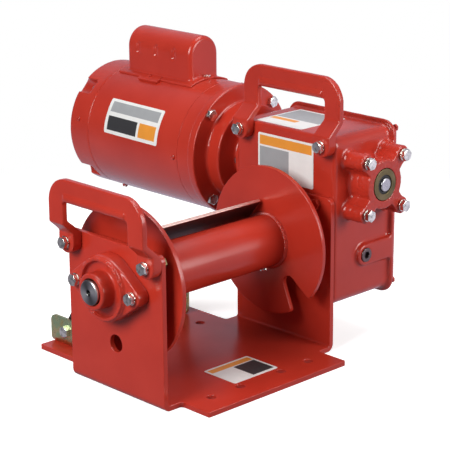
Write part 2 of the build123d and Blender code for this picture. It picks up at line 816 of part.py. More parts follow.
with BuildPart() as output_bearings:
    for seat_plane in (gear_plane.offset(seal_w), cover_bearing):
        add_ring(seat_plane, output_bearing_d, shaft_d + running_clear, output_bearing_w)
save(output_bearings, "output_bearings")

with BuildPart() as output_seal:
    add_ring(gear_plane, seal_d, shaft_d + running_clear, seal_w)
save(output_seal, "output_seal")

# Worm end: cap, retainer ring, seal and bearings
with BuildPart() as worm_cap:
    with BuildSketch(worm_front):
        star_outline()
    extrude(amount=worm_cap_t)
    fillet(worm_cap.faces().sort_by(Axis.Y)[0].edges(), worm_cap_edge_r)
    cut_holes(worm_front, [(0, 0)], worm_cap_bore, worm_cap_t)
    cut_holes(worm_front, cap_points, bolt_d + bolt_clear, worm_cap_t)
save(worm_cap, "worm_cap")

with BuildPart() as worm_cap_bolts:
    reach = washer_t + worm_cap_t + worm_cap_bolt_in - tap_spare
    add_bolts(front_plane, cap_points, bolt_d, reach, bolt_head, bolt_head_h, washer_t)
save(worm_cap_bolts, "worm_cap_bolts")

ring_plane = worm_front.offset(worm_cap_t - worm_ring_in - worm_ring_w)
with BuildPart() as worm_retainer:
    add_ring(ring_plane, worm_cap_bore - seat_clear, worm_seal_d, worm_ring_w)
save(worm_retainer, "worm_retainer")

with BuildPart() as worm_seal:
    add_ring(ring_plane, worm_seal_d - seat_clear, worm_end_d + running_clear, worm_ring_w - seal_back)
save(worm_seal, "worm_seal")

with BuildPart() as worm_bearings:
    for seat_plane in (worm_front, worm_rear):
        add_ring(seat_plane, worm_bearing_d, worm_journal_d + running_clear, -worm_bearing_w)
save(worm_bearings, "worm_bearings")

# Worm shaft: one right-hand thread between two journals, with a plain round front end
coupling_y = box_rear + coupling_start
joint_y = coupling_y + coupling_len / 2
worm_turns = round(worm_thread_len / thread_pitch / 2) * 2
sunk_r = worm_root_r - thread_sink
with BuildPart() as worm_thread:
    with BuildLine() as thread_path:
        Helix(thread_pitch, worm_turns * thread_pitch, worm_r, (0, 0, -worm_turns * thread_pitch / 2))
    start = thread_path.line @ 0
    with BuildSketch(Plane(start, x_dir=(1, 0, 0), z_dir=thread_path.line % 0)):
        with BuildLine():
            Polyline(
                (sunk_r - worm_r, -half_tooth - (worm_r - sunk_r) * flank),
                (tooth_module, -tip_half),
                (tooth_module, tip_half),
                (sunk_r - worm_r, half_tooth + (worm_r - sunk_r) * flank),
                close=True,
            )
        make_face()
    sweep(path=thread_path.line, is_frenet=True)

with BuildPart() as worm_shaft:
    body_y0 = boss_front + worm_bearing_w + part_gap
    body_y1 = box_rear - worm_bearing_w - part_gap
    end_y = worm_cap_y - worm_end_out
    journal_y = worm_cap_y + worm_ring_in + worm_ring_w + part_gap
    with BuildSketch(worm_plane.offset(end_y)):
        Circle(worm_end_d / 2)
    extrude(amount=body_y0 - end_y)
    chamfer(worm_shaft.faces().sort_by(Axis.Y)[0].edges(), worm_end_chamfer)
    with BuildSketch(worm_plane.offset(body_y0)):
        Circle(worm_root_r)
    extrude(amount=body_y1 - body_y0)
    with BuildSketch(worm_plane.offset(journal_y)):
        Circle(worm_journal_d / 2)
    extrude(amount=joint_y - part_gap - journal_y)
    with Locations(worm_plane):
        add(worm_thread.part)
save(worm_shaft, "worm_shaft")

# Plugs: a socket-head level plug in the front pad, and the same plug as a drain below
for name, seat in (("oil_plug", plug_plane.offset(rim_lip)), ("drain_plug", drain_plane)):
    with BuildPart() as plug:
        with BuildSketch(seat):
            Circle(plug_d / 2)
        extrude(amount=plug_h)
        chamfer(plug.faces().sort_by(Axis(seat.origin, seat.z_dir))[-1].edges(), plug_chamfer)
        with BuildSketch(seat):
            Circle(plug_thread_d / 2)
        extrude(amount=-plug_depth)
        with BuildSketch(seat.offset(plug_h)):
            RegularPolygon(plug_hex / 2, 6, major_radius=False)
        extrude(amount=-plug_socket, mode=Mode.SUBTRACT)
    save(plug, name)

# Gearbox handle: the same handle turned round, so that its loop leans over the housing
with BuildPart() as gearbox_handle:
    add_handle((far_x - handle_pad_t, 0, far_handle_z), 1)
save(gearbox_handle, "gearbox_handle")

gearbox_pad = Plane((far_x - handle_pad_t, 0, far_handle_z), x_dir=(0, -1, 0), z_dir=(-1, 0, 0))
with BuildPart() as gearbox_handle_bolts:
    reach = washer_t + handle_pad_t + wall_bolt_in - tap_spare
    add_bolts(gearbox_pad, handle_points, bolt_d, reach, bolt_head, bolt_head_h, washer_t)
save(gearbox_handle_bolts, "gearbox_handle_bolts")

# Spring washers under the heads of all the larger bolts
with BuildPart() as spring_washers:
    for seat, points in (
        (outboard_plane.offset(bearing_flange_t), bearing_points),
        (outboard_pad, handle_points),
        (gearbox_pad, handle_points),
        (front_plane, cap_points),
    ):
        add_washers(seat, points, washer_d, bolt_d, washer_t, washer_split)
save(spring_washers, "spring_washers")

# Turned pieces share the worm's axis: radius across, Y along
turn_plane = Plane((worm_x, 0, worm_z), x_dir=(1, 0, 0), z_dir=(0, 0, 1))
turn_axis = Axis((worm_x, 0, worm_z), (0, 1, 0))


def add_turned(points):
    """Solid of revolution about the worm's axis from points of (radius, Y)."""
    with BuildSketch(turn_plane) as profile:
        with BuildLine():
            Polyline(*points, close=True)
        make_face()
    revolve(profile.sketch, axis=turn_axis)


def ring_points(diameter, count, first):
    """Points on a bolt circle."""
    return [Vector(diameter / 2, 0).rotate(Axis.Z, first + 360 * n / count) for n in range(count)]


face_points = ring_points(face_bolt_pcd, 4, 45)
through_points = ring_points(through_bolt_pcd, 4, 45)
pocket_points = ring_points(through_bolt_pcd + 2 * pocket_out, 4, 45)
adapter_flange_y = adapter_end - adapter_flange_t
collar_y = adapter_flange_y - adapter_collar_len
collar_in_r = adapter_collar_r - adapter_collar_wall
collar_in_y = collar_y + adapter_collar_wall

with BuildPart() as motor_adapter:
    add_turned([
        (adapter_stop_r, box_rear),
        (adapter_base_r, box_rear),
        (adapter_base_r, box_rear + adapter_base_t),
        (adapter_neck_r, box_rear + adapter_base_t),
        (adapter_neck_r, collar_y),
        (adapter_collar_r, collar_y),
        (adapter_collar_r, adapter_flange_y),
        (adapter_flange_r, adapter_flange_y),
        (adapter_flange_r, adapter_end),
        (collar_in_r, adapter_end),
        (collar_in_r, collar_in_y),
        (adapter_bore_r, collar_in_y),
        (adapter_bore_r, box_rear + adapter_stop_t),
        (adapter_stop_r, box_rear + adapter_stop_t),
    ])
    with BuildSketch(worm_rear):
        with Locations((worm_in - box_depth + rim_t + part_gap, 0)):
            Rectangle(box_depth, 2 * adapter_base_r, align=(Align.MAX, Align.CENTER))
    extrude(amount=rim_lip + part_gap, mode=Mode.SUBTRACT)
    cut_holes(worm_rear, adapter_points, small_d + bolt_clear, adapter_base_t)
    flange_seat = worm_rear.offset(adapter_flange_y - box_rear)
    cut_holes(flange_seat, face_points, bolt_d + bolt_clear, adapter_flange_t)
save(motor_adapter, "motor_adapter")

with BuildPart() as adapter_bolts:
    seat = worm_rear.offset(adapter_base_t)
    reach = adapter_base_t + adapter_bolt_in - tap_spare
    add_bolts(seat, adapter_points, small_d, reach, small_head, small_head_h)
save(adapter_bolts, "adapter_bolts")

with BuildPart() as motor_face_bolts:
    seat = Plane((worm_x, adapter_flange_y, worm_z), x_dir=(1, 0, 0), z_dir=(0, -1, 0))
    reach = adapter_flange_t + bell_wall - tap_spare
    add_bolts(seat, face_points, bolt_d, reach, bolt_head, bolt_head_h)
save(motor_face_bolts, "motor_face_bolts")

with BuildPart() as shaft_coupling:
    seat = worm_plane.offset(coupling_y)
    add_ring(seat, coupling_d, worm_journal_d + seat_clear, coupling_len / 2)
    add_ring(seat.offset(coupling_len / 2), coupling_d, motor_shaft_d + seat_clear, coupling_len / 2)
save(shaft_coupling, "shaft_coupling")

# Motor: two bells, rolled shell, stator, rotor and fan
shell_in_r = motor_r - motor_shell_t
rim_r = motor_r - bell_rim
shaft_hole_r = motor_shaft_d / 2 + shaft_room
drive_bearing_y = bell_end - motor_bearing_w
rear_bearing_y = motor_end - bell_wall - motor_bearing_w
with BuildPart() as motor_drive_bell:
    add_turned([
        (shaft_hole_r, adapter_end),
        (motor_r, adapter_end),
        (motor_r, bell_end),
        (rim_r, bell_end),
        (rim_r, adapter_end + bell_wall),
        (bell_hub_r, adapter_end + bell_wall),
        (bell_hub_r, bell_end),
        (motor_bearing_d / 2 + seat_clear / 2, bell_end),
        (motor_bearing_d / 2 + seat_clear / 2, drive_bearing_y),
        (shaft_hole_r, drive_bearing_y),
    ])
    cut_holes(worm_rear.offset(adapter_len), face_points, bolt_d + thread_clear, bell_wall)
    rim_plane = worm_rear.offset(bell_end - box_rear)
    cut_holes(rim_plane, through_points, through_bolt_d + thread_clear, -bell_wall)
save(motor_drive_bell, "motor_drive_bell")

foot_y = bell_end + hood_from_bell
screw_plane = Plane((worm_x, 0, worm_z + motor_r))
screw_points = [(0, foot_y + hood_screw_in), (0, foot_y + hood_foot_len - hood_screw_in)]
with BuildPart() as motor_shell:
    seat = worm_rear.offset(bell_end - box_rear)
    add_ring(seat, motor_d, 2 * shell_in_r, shell_len)
    cut_holes(screw_plane, screw_points, hood_screw_d + thread_clear, -2 * motor_shell_t)
save(motor_shell, "motor_shell")

with BuildPart() as motor_rear_bell:
    rear_bearing_r = motor_bearing_d / 2 + seat_clear / 2
    rear_inside = motor_end - bell_wall
    add_turned([
        (0, motor_end),
        (bell_face_r, motor_end),
        (motor_r, motor_end - (motor_r - bell_face_r)),
        (motor_r, shell_end),
        (rim_r, shell_end),
        (rim_r, rear_inside - (rim_r - bell_face_r + bell_wall)),
        (bell_face_r - bell_wall, rear_inside),
        (bell_hub_r, rear_inside),
        (bell_hub_r, rear_bearing_y),
        (rear_bearing_r, rear_bearing_y),
        (rear_bearing_r, rear_bearing_y + motor_bearing_w + shaft_room),
        (0, rear_bearing_y + motor_bearing_w + shaft_room),
    ])
    nut_plane = worm_rear.offset(shell_end + through_seat - box_rear)
    cut_holes(nut_plane, pocket_points, through_pocket_d, rear_bell_t)
    cut_holes(nut_plane, through_points, through_bolt_d + bolt_clear, -through_seat)
save(motor_rear_bell, "motor_rear_bell")

with BuildPart() as through_bolts:
    reach = through_seat + shell_len + bell_wall - tap_spare
    add_bolts(nut_plane, through_points, through_bolt_d, reach, through_head, through_head_h)
save(through_bolts, "through_bolts")

stator_y = bell_end + shell_len / 2 - stator_len / 2
with BuildPart() as stator_core:
    with BuildSketch(worm_rear.offset(stator_y - box_rear)):
        Circle(shell_in_r - seat_clear / 2)
        Circle(stator_id / 2, mode=Mode.SUBTRACT)
        with PolarLocations(stator_id / 2 + stator_slot_deep / 2, stator_slots):
            Rectangle(stator_slot_deep + air_gap, stator_slot_w, mode=Mode.SUBTRACT)
        with Locations(*through_points):
            Circle(through_bolt_d / 2 + shaft_room, mode=Mode.SUBTRACT)
    extrude(amount=stator_len)
save(stator_core, "stator_core")

with BuildPart() as stator_windings:
    for end_y in (stator_y - winding_overhang, stator_y + stator_len):
        seat = worm_rear.offset(end_y - box_rear)
        add_ring(seat, stator_id + 2 * stator_slot_deep, stator_id + 2 * winding_in, winding_overhang)
save(stator_windings, "stator_windings")

with BuildPart() as motor_bearings:
    for end_y in (drive_bearing_y, rear_bearing_y):
        seat = worm_rear.offset(end_y - box_rear)
        add_ring(seat, motor_bearing_d, motor_shaft_d + running_clear, motor_bearing_w)
save(motor_bearings, "motor_bearings")

with BuildPart() as motor_shaft:
    with BuildSketch(worm_plane.offset(joint_y)):
        Circle(motor_shaft_d / 2)
    extrude(amount=rear_bearing_y + motor_bearing_w - joint_y - part_gap)
save(motor_shaft, "motor_shaft")

with BuildPart() as rotor:
    seat = worm_plane.offset(stator_y)
    add_ring(seat, stator_id - 2 * air_gap, motor_shaft_d + seat_clear, stator_len)
save(rotor, "rotor")

with BuildPart() as cooling_fan:
    seat = worm_plane.offset(shell_end - fan_back - fan_w)
    with BuildSketch(seat):
        Circle(fan_hub_r)
        with PolarLocations((fan_r + motor_shaft_d / 2) / 2, fan_blades):
            Rectangle(fan_r - motor_shaft_d / 2, fan_blade_t)
        Circle((motor_shaft_d + seat_clear) / 2, mode=Mode.SUBTRACT)
    extrude(amount=fan_w)
save(cooling_fan, "cooling_fan")

# Capacitor: can under an arched hood whose foot is rolled to the motor shell
hood_y = foot_y + (hood_foot_len - hood_len) / 2
hood_arch = motor_r + hood_height - hood_w / 2
hood_plane = Plane((worm_x, hood_y, worm_z), x_dir=(-1, 0, 0), z_dir=(0, 1, 0))
foot_plane = Plane((worm_x, foot_y, worm_z), x_dir=(-1, 0, 0), z_dir=(0, 1, 0))


def hood_outline(inset):
    """Arched section of the hood, drawn in by a wall, on the sketch in progress."""
    with Locations((0, hood_arch)):
        Circle(hood_w / 2 - inset)
        Rectangle(hood_w - 2 * inset, hood_arch, align=(Align.CENTER, Align.MAX))


with BuildPart() as hood_outside:
    with BuildSketch(hood_plane):
        hood_outline(0)
    extrude(amount=hood_len)
    ends = hood_outside.faces().sort_by(Axis.Y)
    fillet(ends[0].edges() + ends[-1].edges(), hood_edge_r)

with BuildPart() as hood_inside:
    with BuildSketch(hood_plane.offset(hood_wall)):
        hood_outline(hood_wall)
    extrude(amount=hood_len - 2 * hood_wall)
    ends = hood_inside.faces().sort_by(Axis.Y)
    fillet(ends[0].edges() + ends[-1].edges(), hood_edge_r - hood_wall)

with BuildPart() as capacitor_hood:
    with BuildSketch(foot_plane):
        Circle(motor_r + hood_foot_t)
        with Locations((0, motor_r)):
            Rectangle(hood_foot_w, motor_r, mode=Mode.INTERSECT)
    extrude(amount=hood_foot_len)
    add(hood_outside.part)
    add(hood_inside.part, mode=Mode.SUBTRACT)
    cut_holes(foot_plane, [(0, 0)], motor_d + thread_clear, hood_foot_len)
    cut_holes(screw_plane, screw_points, hood_screw_d + bolt_clear, 2 * hood_foot_t)
save(capacitor_hood, "capacitor_hood")

with BuildPart() as start_capacitor:
    can_y = hood_y + (hood_len - capacitor_len) / 2
    can_plane = Plane((worm_x, can_y, worm_z + motor_r + part_gap + capacitor_d / 2), z_dir=(0, 1, 0))
    with BuildSketch(can_plane):
        Circle(capacitor_d / 2)
    extrude(amount=capacitor_len)
save(start_capacitor, "start_capacitor")

with BuildPart() as hood_screws:
    seat = screw_plane.offset(hood_foot_t + thread_clear)
    reach = hood_foot_t + motor_shell_t + tap_spare
    add_bolts(seat, screw_points, hood_screw_d, reach, hood_screw_head, hood_screw_head_h)
save(hood_screws, "hood_screws")

# Rope pressure bar: ears on the rear tab carry a hinged frame that lies on the drum from behind
ear_in = ear_x - ear_t / 2
arm_out = ear_in - part_gap
arm_in = arm_out - arm_t
pivot_point = [(pivot_y, pivot_z)]
bar_up = Vector(0, 1).rotate(Axis.Z, bar_lean)
bar_behind = Vector(1, 0).rotate(Axis.Z, bar_lean)
bar_low = Vector(bar_low_y, drum_z + sqrt((barrel_r + bar_gap) ** 2 - bar_low_y**2))
arm_end_low = bar_low + bar_behind * (bar_t + arm_end_r) + bar_up * arm_end_r
arm_end_high = arm_end_low + bar_up * (bar_w - 2 * arm_end_r - arm_end_short)

with BuildPart() as pressure_ears:
    for side in (-1, 1):
        with BuildSketch(Plane((0, base_rear, plate_t), x_dir=(1, 0, 0), z_dir=(0, -1, 0))) as section:
            with Locations((side * ear_x, 0)):
                Rectangle(ear_t, ear_top - plate_t, align=(Align.CENTER, Align.MIN))
            with Locations((side * (ear_in - (ear_foot - ear_t) / 2), ear_t / 2)):
                Rectangle(ear_foot + ear_t, ear_t)
            bend = section.vertices().filter_by(lambda v: abs(v.Y) < 0.01)
            fillet(bend.sort_by(lambda v: abs(v.X))[-1], ear_bend_r)
            crease = section.vertices().filter_by(
                lambda v: abs(v.Y - ear_t) < 0.01 and abs(abs(v.X) - ear_in) < 0.01
            )
            fillet(crease, ear_bend_r - ear_t)
        extrude(amount=base_rear - ear_front)
    tops = pressure_ears.edges().filter_by(Axis.X).group_by(Axis.Z)[-1]
    fillet(tops, ear_corner_r)
    for side in (-1, 1):
        cut_holes(Plane.YZ.offset(side * ear_in), pivot_point, pivot_d + bolt_clear, side * ear_t)
    cut_holes(Plane.XY.offset(plate_t), ear_points, press_bolt_d + bolt_clear, ear_t)
save(pressure_ears, "pressure_ears")

with BuildPart() as ear_bolts:
    seat = Plane.XY.offset(plate_t + ear_t)
    add_bolts(seat, ear_points, press_bolt_d, ear_t + plate_t - part_gap, pivot_head, pivot_head_h)
save(ear_bolts, "ear_bolts")

with BuildPart() as pivot_bolts:
    reach = ear_t + part_gap + arm_t + part_gap + pivot_nut_h
    for side in (-1, 1):
        seat = Plane((side * (ear_in + ear_t), 0, 0), x_dir=(0, side, 0), z_dir=(side, 0, 0))
        add_bolts(seat, [(side * pivot_y, pivot_z)], pivot_d, reach, pivot_head, pivot_head_h)
save(pivot_bolts, "pivot_bolts")

with BuildPart() as pivot_nuts:
    for side in (-1, 1):
        seat = Plane((side * (arm_in - part_gap), 0, 0), x_dir=(0, -side, 0), z_dir=(-side, 0, 0))
        add_nuts(seat, [(-side * pivot_y, pivot_z)], pivot_d, pivot_head, pivot_nut_h)
save(pivot_nuts, "pivot_nuts")

for name, side_x in (("pressure_arm_outboard", -arm_out), ("pressure_arm_gear", arm_in)):
    arm_plane = Plane.YZ.offset(side_x)
    with BuildPart() as arm:
        with BuildSketch(arm_plane):
            with Locations((pivot_y, pivot_z), (arm_knee_y, arm_knee_z)):
                Circle(arm_w / 2)
            make_hull()
        with BuildSketch(arm_plane):
            with Locations((arm_knee_y, arm_knee_z)):
                Circle(arm_w / 2)
            with Locations(arm_end_low, arm_end_high):
                Circle(arm_end_r)
            make_hull()
        extrude(amount=arm_t)
        cut_holes(arm_plane, pivot_point, pivot_d + running_clear, arm_t)
    save(arm, name)

with BuildPart() as pressure_bar:
    bar_plane = Plane((bar_x0, bar_low.X, bar_low.Y), x_dir=(0, bar_up.X, bar_up.Y), z_dir=(1, 0, 0))
    with BuildSketch(bar_plane) as bar_section:
        Rectangle(bar_w, bar_t, align=(Align.MIN, Align.MAX))
        fillet(bar_section.vertices(), bar_edge_r)
    extrude(amount=bar_x1 - bar_x0)
save(pressure_bar, "pressure_bar")
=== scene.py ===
# %% [markdown]
# A portable drum winch, dressed for its portrait.
# The construction model comes in first and is never moved: it fixes every size, axis and joint.
# Each cell after that gives one piece of the machine its real edges, its finish or its small parts.

# %% Load the fixed frame
import bpy
import bmesh
import json
from math import atan2, cos, pi, radians, sin, sqrt
from mathutils import Matrix, Vector, noise


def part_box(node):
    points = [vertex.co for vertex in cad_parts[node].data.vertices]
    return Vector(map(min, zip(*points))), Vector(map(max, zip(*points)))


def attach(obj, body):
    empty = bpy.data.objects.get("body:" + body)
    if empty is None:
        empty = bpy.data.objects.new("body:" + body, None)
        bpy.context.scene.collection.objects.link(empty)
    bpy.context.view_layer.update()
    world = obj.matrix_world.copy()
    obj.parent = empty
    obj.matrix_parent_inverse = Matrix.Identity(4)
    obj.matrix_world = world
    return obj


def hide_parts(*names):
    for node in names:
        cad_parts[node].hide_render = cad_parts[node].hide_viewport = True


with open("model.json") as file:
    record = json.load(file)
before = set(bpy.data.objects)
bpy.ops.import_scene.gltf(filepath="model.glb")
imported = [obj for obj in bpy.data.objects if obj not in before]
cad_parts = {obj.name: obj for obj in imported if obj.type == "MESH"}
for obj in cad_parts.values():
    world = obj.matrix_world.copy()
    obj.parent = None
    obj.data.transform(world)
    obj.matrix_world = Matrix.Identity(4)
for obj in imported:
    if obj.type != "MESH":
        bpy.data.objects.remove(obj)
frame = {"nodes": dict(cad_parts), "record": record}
nodes = frame["nodes"]
body_of_node = {n: body for body, group in frame["record"]["behaviour"]["bodies"].items() for n in group}
slot_of_node = {row["node"]: row["material_slot"] for row in frame["record"]["subparts"]}
joint_place = {row["name"]: row["pos_m"] for row in frame["record"]["behaviour"]["joints"]}
drum_height = joint_place["drum_spin"][2]
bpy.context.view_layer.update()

# %% [markdown]
# The camera stands at the photograph's viewpoint: low, in front of the outboard end, with a long lens.
# Its heading, its height above the horizon and a trace of roll come from the lines of the base and
# the rows of holes. Depth of field stays off, so the same camera can walk round the machine.

# %% Camera at the photograph's angle
heading = radians(-43.75)
above = radians(16.67)
roll = radians(-0.42)
stand = (-1.2402, -1.3303, 0.7126)
camera_data = bpy.data.cameras.new("portrait")
camera_data.sensor_width = 36
camera_data.lens = 133.0
camera_data.clip_end = 30
camera = bpy.data.objects.new("portrait", camera_data)
pan = Matrix.Rotation(heading, 4, "Z")
tilt = Matrix.Rotation(pi / 2 - above, 4, "X")
turn = pan @ tilt @ Matrix.Rotation(roll, 4, "Z")
camera.matrix_world = Matrix.Translation(stand) @ turn
bpy.context.scene.collection.objects.link(camera)
bpy.context.scene.camera = camera
bpy.context.scene.view_settings.view_transform = "Standard"
print("camera", [round(v, 3) for v in camera.matrix_world.translation])

# %% [markdown]
# Studio light. The machine stands on a white sweep that rises behind it and to its right, and the
# dark room lies to the left. Glossy enamel is mostly what it mirrors, so the sweep that the camera
# sees is also what the paint sees, a little violet. A broad softbox from the upper left models the
# forms, a lower one fills from the right front, and one overhead picks out the tops. A fourth lights the
# rear for the other views and is kept out of reflections, as it stands opposite the camera.


# %% Helpers for node networks
def add_node(net, kind, **sockets):
    """New node with some of its sockets set by name."""
    node = net.nodes.new(kind)
    for name, value in sockets.items():
        node.inputs[name.replace("_", " ")].default_value = value
    return node


def math_node(net, operation, *values):
    """Math on values, each a number or an output."""
    node = net.nodes.new("ShaderNodeMath")
    node.operation = operation
    for socket, value in zip(node.inputs, values):
        if isinstance(value, (int, float)):
            socket.default_value = value
        else:
            net.links.new(value, socket)
    return node.outputs[0]


def side_ramp(net, vector, axis, low, high):
    """Smooth rise from 0 to 1 along a direction."""
    along = net.nodes.new("ShaderNodeVectorMath")
    along.operation = "DOT_PRODUCT"
    along.inputs[1].default_value = axis
    net.links.new(vector, along.inputs[0])
    rise = net.nodes.new("ShaderNodeMapRange")
    rise.interpolation_type = "SMOOTHSTEP"
    rise.inputs["From Min"].default_value = low
    rise.inputs["From Max"].default_value = high
    net.links.new(along.outputs["Value"], rise.inputs["Value"])
    return rise.outputs["Result"]


def mix_shaders(net, share, first, second):
    """Two shaders mixed by an output."""
    node = net.nodes.new("ShaderNodeMixShader")
    for socket, value in zip(node.inputs, (share, first, second)):
        net.links.new(value, socket)
    return node.outputs[0]


# %% World: white sweep and dim fill
bright_side = (0.95, 0.30, 0.0)
mirror_tint = (0.86, 0.82, 1.0, 1)
world = bpy.data.worlds.new("white studio")
bpy.context.scene.world = world
world.use_nodes = True
net = world.node_tree
net.nodes.clear()
rays = net.nodes.new("ShaderNodeLightPath")
outward = net.nodes.new("ShaderNodeTexCoord")
sweep_side = side_ramp(net, outward.outputs["Generated"], bright_side, -0.35, 0.55)
soft_fill = add_node(net, "ShaderNodeBackground", Color=(0.93, 0.95, 1.0, 1), Strength=0.045)
white_sweep = add_node(net, "ShaderNodeBackground", Color=(1, 1, 1, 1), Strength=1.0)
mirrored_sweep = add_node(net, "ShaderNodeBackground", Color=mirror_tint)
net.links.new(math_node(net, "MULTIPLY_ADD", sweep_side, 0.42, 0.12), mirrored_sweep.inputs["Strength"])
in_mirror = mix_shaders(net, rays.outputs["Is Glossy Ray"], soft_fill.outputs[0], mirrored_sweep.outputs[0])
direct = math_node(net, "MAXIMUM", rays.outputs["Is Camera Ray"], rays.outputs["Is Transmission Ray"])
sky_out = net.nodes.new("ShaderNodeOutputWorld")
net.links.new(mix_shaders(net, direct, in_mirror, white_sweep.outputs[0]), sky_out.inputs["Surface"])
print("world", world.name)


# %% Softboxes
def softbox(name, place, aim, size, watts):
    """Rectangular lamp that looks at a point."""
    data = bpy.data.lights.new(name, "AREA")
    data.shape = "RECTANGLE"
    data.size, data.size_y = size
    data.energy = watts
    lamp = bpy.data.objects.new(name, data)
    lamp.location = place
    lamp.rotation_euler = (Vector(aim) - Vector(place)).to_track_quat("-Z", "Y").to_euler()
    bpy.context.scene.collection.objects.link(lamp)
    return lamp


middle = (0.05, 0.1, 0.15)
for name, place, size, watts, mirrored in (
    ("key softbox", (-1.95, 0.0, 1.3), (1.2, 1.2), 52, True),
    ("right softbox", (0.9, -1.9, 0.8), (1.1, 1.1), 30, True),
    ("top strip", (0.6, 0.0, 1.9), (1.2, 0.9), 15, True),
    ("back softbox", (1.3, 2.0, 1.3), (1.2, 1.2), 16, False),
):
    softbox(name, place, middle, size, watts).visible_glossy = mirrored

# %% [markdown]
# The floor is a plain pale sheet. Its diffuse part keeps the soft contact shadow. For camera rays a
# little emission lifts the open floor to the white of the background, and away from the machine the
# sheet turns into that white altogether, so no horizon shows.

# %% Floor sheet
floor_mesh = bpy.data.meshes.new("floor")
shape = bmesh.new()
bmesh.ops.create_grid(shape, x_segments=1, y_segments=1, size=4)
shape.to_mesh(floor_mesh)
shape.free()
floor = bpy.data.objects.new("floor", floor_mesh)
floor.location.z = -0.0002
bpy.context.scene.collection.objects.link(floor)
print("floor", floor.name)

# %% Floor paint
camera_lift = 0.68
floor_paint = bpy.data.materials.new("pale floor")
floor_paint.use_nodes = True
net = floor_paint.node_tree
net.nodes.clear()
rays = net.nodes.new("ShaderNodeLightPath")
place = net.nodes.new("ShaderNodeTexCoord")
on_camera = rays.outputs["Is Camera Ray"]
dim_sheet = add_node(net, "ShaderNodeBsdfDiffuse", Color=(0.22, 0.22, 0.22, 1))
pale_sheet = add_node(net, "ShaderNodeBsdfDiffuse", Color=(0.80, 0.80, 0.80, 1))
matt = mix_shaders(net, on_camera, dim_sheet.outputs[0], pale_sheet.outputs[0])
lift = net.nodes.new("ShaderNodeEmission")
net.links.new(math_node(net, "MULTIPLY", on_camera, camera_lift), lift.inputs["Strength"])
lifted = net.nodes.new("ShaderNodeAddShader")
net.links.new(matt, lifted.inputs[0])
net.links.new(lift.outputs[0], lifted.inputs[1])
mirror_side = side_ramp(net, place.outputs["Object"], bright_side, -0.4, 0.5)
mirror_floor = add_node(net, "ShaderNodeEmission", Color=mirror_tint)
net.links.new(math_node(net, "MULTIPLY_ADD", mirror_side, 0.66, 0.22), mirror_floor.inputs["Strength"])
both = mix_shaders(net, rays.outputs["Is Glossy Ray"], lifted.outputs[0], mirror_floor.outputs[0])
clean_white = add_node(net, "ShaderNodeEmission", Strength=1.0)
reach = net.nodes.new("ShaderNodeVectorMath")
reach.operation = "LENGTH"
net.links.new(place.outputs["Object"], reach.inputs[0])
away = net.nodes.new("ShaderNodeMapRange")
away.interpolation_type = "SMOOTHSTEP"
away.inputs["From Min"].default_value = 0.45
away.inputs["From Max"].default_value = 0.95
net.links.new(reach.outputs["Value"], away.inputs["Value"])
faded = math_node(net, "MULTIPLY", away.outputs["Result"], on_camera)
floor_out = net.nodes.new("ShaderNodeOutputMaterial")
net.links.new(mix_shaders(net, faded, both, clean_white.outputs[0]), floor_out.inputs["Surface"])
floor_mesh.materials.append(floor_paint)
print("floor paint", floor_paint.name)

# %% [markdown]
# Finishes. Every finish is a small network on Object coordinates, in metres, so a pattern keeps its
# true size on every piece: orange peel in sprayed enamel is about four millimetres across, sand-cast
# skin and the scratches on metal about one and less. One helper lays the common base, and each finish
# adds what is its own.


# %% Helper for a finish
def start_finish(name, metallic, roughness):
    """A Principled surface with Object coordinates, returned with its network and shader."""
    finish = bpy.data.materials.new(name)
    finish.use_nodes = True
    net = finish.node_tree
    shader = net.nodes["Principled BSDF"]
    shader.inputs["Metallic"].default_value = metallic
    shader.inputs["Roughness"].default_value = roughness
    place = net.nodes.new("ShaderNodeTexCoord")
    return finish, net, shader, place.outputs["Object"]


def grain(net, where, scale, detail=2.0, stretch=None):
    """Noise of so many waves per metre, stretched along an axis if asked."""
    if stretch:
        mapping = net.nodes.new("ShaderNodeMapping")
        mapping.inputs["Scale"].default_value = stretch
        net.links.new(where, mapping.inputs["Vector"])
        where = mapping.outputs["Vector"]
    texture = add_node(net, "ShaderNodeTexNoise", Scale=scale, Detail=detail)
    net.links.new(where, texture.inputs["Vector"])
    return texture.outputs["Fac"]


def spread(net, value, low, high):
    """Map a noise value between two numbers."""
    node = net.nodes.new("ShaderNodeMapRange")
    node.inputs["From Min"].default_value = 0.3
    node.inputs["From Max"].default_value = 0.7
    node.inputs["To Min"].default_value = low
    node.inputs["To Max"].default_value = high
    net.links.new(value, node.inputs["Value"])
    return node.outputs["Result"]


def shades(net, value, stops):
    """Colour ramp over a value, from pairs of position and colour."""
    ramp = net.nodes.new("ShaderNodeValToRGB")
    ramp.color_ramp.elements[0].position, ramp.color_ramp.elements[0].color = stops[0]
    ramp.color_ramp.elements[1].position, ramp.color_ramp.elements[1].color = stops[-1]
    for position, colour in stops[1:-1]:
        ramp.color_ramp.elements.new(position).color = colour
    net.links.new(value, ramp.inputs["Fac"])
    return ramp.outputs["Color"]


def emboss(net, shader, heights):
    """Chain bumps into the shader from triples of value, strength and depth in metres."""
    last = None
    for value, strength, depth in heights:
        bump = add_node(net, "ShaderNodeBump", Strength=strength, Distance=depth)
        net.links.new(value, bump.inputs["Height"])
        if last:
            net.links.new(last, bump.inputs["Normal"])
        last = bump.outputs["Normal"]
    net.links.new(last, shader.inputs["Normal"])


# %% [markdown]
# Red enamel. The real paint is a glossy sprayed enamel over steel and over castings. On rolled plate
# it is nearly smooth with a faint orange peel, on sand castings the skin of the mould shows through.
# Both share one colour that drifts a little, as thin and thick coats do.


